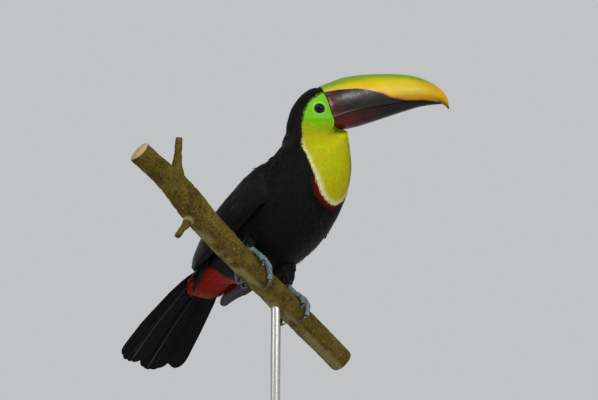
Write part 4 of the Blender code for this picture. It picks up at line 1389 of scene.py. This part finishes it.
def tube(centres, radii, turns, relief=None, first=X):
    """Rings round a path; first is the direction of angle 0. relief adds to the radius."""
    run = unit(np.gradient(centres, axis=0))
    first = np.broadcast_to(first, centres.shape)
    first = unit(first - run * dot(run, first)[:, None])
    angle = full_turn(turns)
    radius = np.repeat(radii[:, None], turns, 1)
    if relief is not None:
        radius = radius + relief(angle[None, :], len(centres))
    spokes = around(first[:, None], np.cross(run, first)[:, None], angle)
    return centres[:, None] + spokes * radius[..., None]


def make_twig(place, lean, forward, length, root, end):
    rise, _ = perch_row(place)
    start = PERCH_CENTRE + ALONG * place * MM + ACROSS_TOP * rise
    lean, forward = math.radians(lean), math.radians(forward)
    run = np.array((math.sin(lean), 0, math.cos(lean))) * math.cos(forward)
    run = run - np.array((0, math.sin(forward), 0))
    share = np.linspace(0, 1, 90)
    radii = (root * 1.5, root * 1.25, root * 0.9, end * 1.1, end)
    reach = np.interp(share, (0, 0.3, 0.45, 0.7, 1), radii)
    centres = start + run * (length * MM * share)[:, None]
    return closed_loft("twig", tube(centres, reach * MM - 0.4 * MM, 60))


def make_branch():
    first, last = PERCH_ROWS[0][0], PERCH_ROWS[-1][0]
    places = np.linspace(first, last, 330)
    rise, radius = perch_row(places)
    centres = PERCH_CENTRE + ALONG * (places * MM)[:, None] + ACROSS_TOP * rise[:, None]
    branch = closed_loft("branch", tube(centres, radius - 0.5 * MM, 110, first=ACROSS_TOP))
    union(branch, [make_twig(*twig) for twig in TWIGS])
    points = mesh_points(branch.data)
    off = points - PERCH_CENTRE
    along, top, front = off @ ALONG, off @ ACROSS_TOP, off @ ACROSS_FRONT
    reach = np.hypot(top, front)
    cracks = np.abs(noise(np.stack([along * 0.3, top, front], -1), 5.5 * MM, 21, 4))
    lumps = noise(points, 16 * MM, 22)
    knots = np.exp(-(((along / MM + 158) / 20) ** 2)) * noise(points, 9 * MM, 23)
    side = smooth(0.0, 1.2, np.minimum(along / MM - first, last - along / MM))
    bark = 0.45 * np.tanh(cracks * 2.2) - 0.28 + 0.22 * lumps + 0.5 * knots
    rings = 0.12 * np.sin(reach / MM * 3.1 + 2 * lumps)
    height = np.clip(np.where(side > 0.5, bark, rings), -0.6, 0.9) * MM
    points = points + mesh_points(branch.data, "normal") * height[:, None]
    branch.data.vertices.foreach_set("co", points.astype(np.float32).ravel())
    data = {"crack": cracks, "top": top / MM, "cut": 1 - side, "reach": reach / MM}
    for key, values in data.items():
        put(branch.data, key, values)
    branch.data.shade_smooth()
    finish(branch, branch_material(), ("perch",))


def branch_material():
    m = Shader("bark", 0.82, Specular_IOR_Level=0.12)
    top, fine = m.read("top"), m.grain(420, 5, 0.65)
    m.colour = m.blend(m.grain(55, 4).step(0.35, 0.68), (0.046, 0.028, 0.003), (0.090, 0.060, 0.006))
    m.paint(fine.step(0.42, 0.68) * 0.6, (0.135, 0.095, 0.012))
    # painted shade: the bark is darkened in the bottoms of its cracks
    m.paint(m.read("crack").step(0.22, 0.04), (0.018, 0.011, 0.003))
    moss = m.grain(38, 3).step(0.48, 0.66) * top.step(-8, 8)
    m.paint(moss * 0.5, (0.060, 0.062, 0.006))
    # painted light: a pale, patchy rim of light along the branch's underside
    rim = top.step(-10, -14) * m.grain(70, 3).step(0.35, 0.6) * m.read("reach").step(18.6, 17.2)
    m.paint(rim * 0.6, (0.26, 0.23, 0.10))
    patch = m.grain(30, 3).step(0.46, 0.62) * top.step(-11, -4)
    speck = m.grain(900, 3, 0.6).step(0.55, 0.65) * patch
    m.paint(speck * 0.85, (0.40, 0.30, 0.06))
    crust = m.grain(210, 4, 0.7).step(0.60, 0.68) * m.grain(36, 2).step(0.5, 0.62)
    m.paint(crust * 0.45, (0.30, 0.30, 0.17))
    wood = m.blend(fine.step(0.3, 0.7), (0.36, 0.24, 0.10), (0.50, 0.36, 0.17))
    m.paint(m.read("cut").step(0.4, 0.6), wood)
    return m.done(fine * 1.2 + m.spots(700) * 0.5, 0.0007, 0.8)


# ---------------------------------------------------------------- feet
# Toes as in the solids: number, way round the branch, first and last angle from its top, places
# along it of root, end and claw tip, and root and end radius.
FEET = {
    "right": (
        (2, 1, -14, 104, -50, -27, -23, 3.7, 2.9), (3, 1, -14, 66, -58, -46, -44, 3.5, 2.8),
        (1, -1, -14, 124, -49, -37, -35, 3.1, 2.4), (4, -1, -14, 136, -57, -46, -44, 3.4, 2.6),
    ),
    "left": (
        (2, 1, -14, 74, 21, 27, 25, 3.3, 2.7), (3, 1, -14, 102, 27, 38, 34, 3.6, 2.8),
        (1, -1, -14, 110, 22, 20, 18, 3.1, 2.4), (4, -1, -14, 128, 29, 31, 31, 3.4, 2.6),
    ),
}
CLAW_TURN = 36  # degrees round the branch
FOOT_PLACES = {"right": -53, "left": 24.5}  # mm along the branch
FOOT_HEIGHT = 15.3 * MM + 4.2 * MM  # the branch's radius and the foot's over it


def scutes(length, pitch=2.1, depth=0.34):
    """Relief of overlapping plates over the upper side of a toe and of pads under it."""
    def relief(angle, rings):
        along = np.linspace(0, length, rings)[:, None] / MM
        part = (along / pitch) % 1
        plate = depth * (part**0.8 - 0.62 - 0.9 * np.exp(-((part / 0.09) ** 2)))
        over = smooth(-0.35, 0.15, np.cos(angle))
        edge = 0.3 * np.exp(-((np.cos(angle) + 0.1) / 0.16) ** 2)
        beads = 0.16 * np.sin(along * math.tau / 1.1) * np.sin(angle * 9) * (1 - over)
        return (plate * over - edge + beads) * MM
    return relief


def over_perch(place, angle, lift, radius, turns, scaled):
    """Rings of a toe or claw over the branch, this far from the branch's middle line."""
    centres = on_perch(place, angle, lift)
    relief = scutes(float(strides(centres).sum())) if scaled else None
    return tube(centres, radius, turns, relief, unit(centres - on_perch(place, angle, 0)))


def toe_rings(way, first, last, root_place, end_place, root, end):
    share = np.linspace(0, 1, 150)
    angle = np.radians(first + (last - first) * share) * way
    radius = root + (end - root) * share
    place = root_place + (end_place - root_place) * share
    lift = perch_row(place)[1] + (radius + 0.5) * MM
    knuckle = 0.35 * np.cos(share * math.tau * 3)
    end_round = np.sqrt(np.clip(1 - ((share - 0.93) / 0.07).clip(0) ** 2, 0.05, 1))
    return over_perch(place, angle, lift, (radius + knuckle) * end_round * MM, 40, True)


def claw_rings(way, last, end_place, tip_place, end):
    share = np.linspace(0, 1, 60)
    radius = end * 0.92 * (1 - share) ** 0.6 + 0.25
    angle = np.radians(last - 1 + (CLAW_TURN + 5) * share) * way
    place = end_place + (tip_place - end_place) * share
    hump = 2.2 * np.sin(math.pi * share**0.8)
    lift = perch_row(place)[1] + (0.3 + end * (1 - share) + radius * share + hump) * MM
    rings = over_perch(place, angle, lift, radius * MM, 28, False)
    across = dot(rings - rings.mean(1, keepdims=True), ALONG)[..., None] * ALONG
    return rings - across * 0.22


def leg_rings(name):
    foot = on_perch(np.float64(FOOT_PLACES[name]), np.float64(0), FOOT_HEIGHT)
    cuff, hip = thigh_line(name)
    path = [foot, mix(foot, cuff, 0.3), mix(foot, cuff, 0.7), mix(cuff, hip, 0.12)]
    table = Rows([(*p, r) for p, r in zip(path, (4.0, 3.6, 3.2, 3.4))])
    x, y, z, radius = table.at(np.linspace(0, 1, 170) * 3)
    scales = scutes(float(np.linalg.norm(path[-1] - path[0])), 2.8)
    return tube(np.stack([x, y, z], -1), radius * MM, 44, scales, ACROSS_FRONT)


def lofts(name, group, material, nodes):
    """One piece from several tubes, with the share along each of them."""
    points, quads, caps = joined([capped(rings) for rings in group])
    shares = [np.repeat(np.linspace(0, 1, len(r))[:, None], r.shape[1], 1) for r in group]
    made = build(name, points, quads, caps, share=np.concatenate([with_ends(s) for s in shares]))
    unwrap(made)
    finish(made, material, nodes)


def make_feet():
    leather, horn = foot_material(), claw_material()
    for name, toes in FEET.items():
        parts, claws = [], []
        for _, way, first, last, root_place, end_place, tip_place, root, end in toes:
            parts.append(toe_rings(way, first, last, root_place, end_place, root, end))
            claws.append(claw_rings(way, last, end_place, tip_place, end))
        parts.append(leg_rings(name))
        lofts(f"foot_{name}", parts, leather, (f"leg_{name}",))
        nodes = tuple(f"claw_{name}_{k}" for k in (1, 2, 3, 4))
        lofts(f"claws_{name}", claws, horn, nodes)


def unwrap(made):
    """An OFBake map from the mesh's own shape, projected by the way each face points."""
    mesh = made.data
    points = mesh_points(mesh)
    low, size = points.min(0), np.ptp(points, axis=0).max()
    loops = np.empty(len(mesh.loops), np.int32)
    mesh.loops.foreach_get("vertex_index", loops)
    normals = np.repeat([p.normal for p in mesh.polygons], [p.loop_total for p in mesh.polygons], 0)
    axis = np.abs(normals).argmax(1)
    way = (normals[np.arange(len(normals)), axis] > 0) * 1
    x, y, z = ((points[loops] - low) / size).T
    flat = np.stack([np.where(axis == 0, y, x), np.where(axis == 2, y, z)], -1)
    cells = np.array((3, 2))  # a cell of the map for each axis and way
    map_corners(mesh, np.stack([axis, way], -1) / cells + 0.01 + flat * np.array((0.31, 0.48)))


def foot_material():
    m = Shader("foot_skin", 0.5, Subsurface_Weight=0.04, Subsurface_Scale=0.002)
    m.colour = m.blend(m.grain(160, 4).step(0.3, 0.7), (0.045, 0.070, 0.085), (0.13, 0.18, 0.20))
    m.paint(m.grain(900, 3).step(0.48, 0.66) * 0.55, (0.30, 0.36, 0.36))
    m.paint(m.grain(420, 3).step(0.5, 0.66) * 0.6, (0.03, 0.035, 0.035))
    return m.done(m.spots(1500), 0.0003, 0.6)


def claw_material():
    m = Shader("claw", 0.28, Coat_Weight=0.3, Coat_Roughness=0.15)
    along = m.grain(380, 4, stretch=(1, 1, 0.4))
    m.colour = m.blend(along.step(0.35, 0.7), (0.010, 0.010, 0.011), (0.035, 0.033, 0.032))
    m.paint(m.read("share").step(0.7, 1.0) * 0.5, (0.09, 0.08, 0.07))
    return m.done(along, 0.0002, 0.4)


# ---------------------------------------------------------------- stand
# Turned stand: share of the base's radius and height in mm, from its underside to its top.
BASE_PROFILE = (
    (0.0, 0.6), (0.93, 0.6), (0.975, 1.2), (0.993, 3.0), (1.0, 5.5), (0.998, 8.0), (0.985, 9.6),
    (0.965, 10.2), (0.958, 10.8), (0.957, 11.6), (0.945, 13.6), (0.915, 15.6), (0.87, 17.2),
    (0.82, 17.9), (0.75, 18.0), (0.1, 18.0),
)
FELT_PROFILE = ((0.3, 0.0), (0.88, 0.0), (0.9, 0.2), (0.9, 0.8), (0.3, 0.8))
# Collar, in mm out from the rod and up from the base's top.
COLLAR_PROFILE = (
    (0.05, -0.5), (9, -0.5), (9.5, 0.6), (9.2, 1.6), (6, 2.6), (3.4, 4.6), (2.6, 8), (2.4, 10.5),
    (1.6, 11.4), (0.05, 11.6),
)


def make_stand():
    low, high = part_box("stand_base")
    foot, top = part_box("stand_rod")
    radius, rod, tall = (high.x - low.x) / 2, (top.x - foot.x) / 2 / MM, high.z
    middle = np.array(((high.x + low.x) / 2, (high.y + low.y) / 2, 0))
    reach, height = Rows(BASE_PROFILE, 6).at(np.linspace(1, len(BASE_PROFILE) - 2, 90))
    rings = revolved(reach * radius, np.minimum(height * MM, tall), 180)
    base = closed_loft("stand_base_turned", middle + rings)
    unwrap(base)
    finish(base, walnut_material(), ("stand_base",))
    pad = np.array(FELT_PROFILE)
    lathe("stand_felt", pad[:, 0] * radius / MM, pad[:, 1], middle, felt_material(), "stand_wood")
    metal = steel_material()
    collar = np.array(COLLAR_PROFILE) + (rod, tall / MM)
    lathe("stand_collar", *collar.T, middle, metal, "stand_metal")
    heights = np.linspace(foot.z, top.z, 24)
    centres = np.stack([heights * 0 + middle[0], heights * 0 + middle[1], heights], -1)
    turned_rod = closed_loft("stand_rod_turned", tube(centres, heights * 0 + rod * MM, 72))
    unwrap(turned_rod)
    finish(turned_rod, metal, ("stand_rod",))


def lathe(name, reach, height, middle, material, slot):
    """A ring-shaped piece from the closed outline of its section, with its edges taken off."""
    turns, rows = 96, len(reach)
    rings = revolved(reach * MM, height * MM, turns) + middle
    closing = grid_faces(2, turns)
    closing = np.where(closing >= turns, closing - turns, closing + (rows - 1) * turns)
    made = build(name, rings.reshape(-1, 3), grid_faces(rows, turns), closing)
    bevel = made.modifiers.new("edges", "BEVEL")
    bevel.width = 0.25 * MM
    bevel.limit_method = "ANGLE"
    unwrap(made)
    return finish(made, material)


def walnut_material():
    m = Shader("walnut", 0.32, Coat_Weight=0.4, Coat_Roughness=0.12)
    wave = {"Vector": m.place((1.0, 0.16, 1.0)), "Scale": 26.0, "Distortion": 5.0, "Detail": 4.0}
    rings = m.node("TexWave", {**wave, "Detail Scale": 1.6}, bands_direction="X", out=1)
    pores = m.grain(520, 4, stretch=(1.0, 0.05, 1.0))
    m.colour = m.blend(rings, (0.050, 0.021, 0.009), (0.115, 0.052, 0.022))
    m.paint(pores.step(0.52, 0.68) * 0.6, (0.022, 0.010, 0.005))
    return m.done(pores * -1.0, 0.0002, 0.4)


def steel_material():
    m = Shader("brushed_steel", 0.3, Metallic=1.0)
    brushed = m.grain(900, 3, stretch=(1.0, 1.0, 0.02))
    m.colour = m.blend(brushed, (0.42, 0.41, 0.39), (0.62, 0.61, 0.58))
    return m.done(brushed, 0.00008, 0.4, roughness=0.24 + brushed * 0.2)


def felt_material():
    m = Shader("felt", 0.95, Sheen_Weight=0.4)
    fuzz = m.grain(1400, 4)
    m.colour = m.blend(fuzz, (0.015, 0.016, 0.014), (0.04, 0.042, 0.038))
    return m.done(fuzz, 0.0006, 0.8)


# ---------------------------------------------------------------- floor, lights and camera
def area_light(name, place, target, size, power, tall=None):
    lamp = bpy.data.lights.new(name, "AREA")
    lamp.shape = "RECTANGLE"
    lamp.size = size
    lamp.size_y = tall or size
    lamp.energy = power
    made = bpy.data.objects.new(name, lamp)
    made.location = place
    made.rotation_euler = (Vector(target) - Vector(place)).to_track_quat("-Z", "Y").to_euler()
    bpy.context.scene.collection.objects.link(made)


def make_stage():
    reach, turns = np.concatenate([np.linspace(0.02, 0.5, 8), np.linspace(0.8, 5, 10)]), 64
    points = np.concatenate([revolved(reach, 0 * reach, turns).reshape(-1, 3), [[0, 0, 0]]])
    j = np.arange(turns)
    middle = np.stack([j, (j + 1) % turns, np.full(turns, len(points) - 1)], 1)
    floor = build("floor", points, grid_faces(len(reach), turns), middle[:, ::-1])
    m = Shader("studio_floor", 0.7)
    m.colour = m.blend(m.grain(60, 4), (0.70, 0.70, 0.69), (0.76, 0.76, 0.75))
    floor.data.materials.append(m.done())
    world = bpy.data.worlds.new("studio")
    world.use_nodes = True
    sky = world.node_tree.nodes["Background"].inputs
    sky["Color"].default_value = (0.86, 0.88, 0.90, 1)
    sky["Strength"].default_value = 0.62
    bpy.context.scene.world = world
    aim = (0, -0.04, 0.43)
    area_light("key", (-1.3, -1.2, 2.0), aim, 1.1, 22)
    bill = (0.06, -0.1, 0.56)
    area_light("window", (-0.37, -2.15, 1.12), bill, 0.46, 14, tall=0.17)
    area_light("pane", (0.30, -2.2, 1.09), bill, 0.14, 3.0, tall=0.14)
    area_light("side", (-2.0, 0.3, 0.9), aim, 0.8, 6)
    area_light("rim", (1.2, 1.4, 1.5), aim, 0.8, 4)


def make_camera():
    camera = bpy.data.objects.new("camera", bpy.data.cameras.new("camera"))
    camera.location = (-0.7666, -0.8909, 0.0631)
    aim = Vector((-0.0029, -0.0428, 0.4339))
    camera.rotation_euler = (aim - camera.location).to_track_quat("-Z", "Y").to_euler()
    camera.data.sensor_width = 36
    camera.data.lens = 62.818
    bpy.context.scene.collection.objects.link(camera)
    bpy.context.scene.camera = camera


# ---------------------------------------------------------------- making
skin = make_skin()
black = make_body_coat(skin)
make_thigh_coats(black)
make_wings(black)
make_tail()
make_bill()
make_eyes(shape_of(skin))
make_feet()
make_branch()
make_stand()
make_stage()
make_camera()
bpy.context.scene.view_settings.view_transform = "Standard"
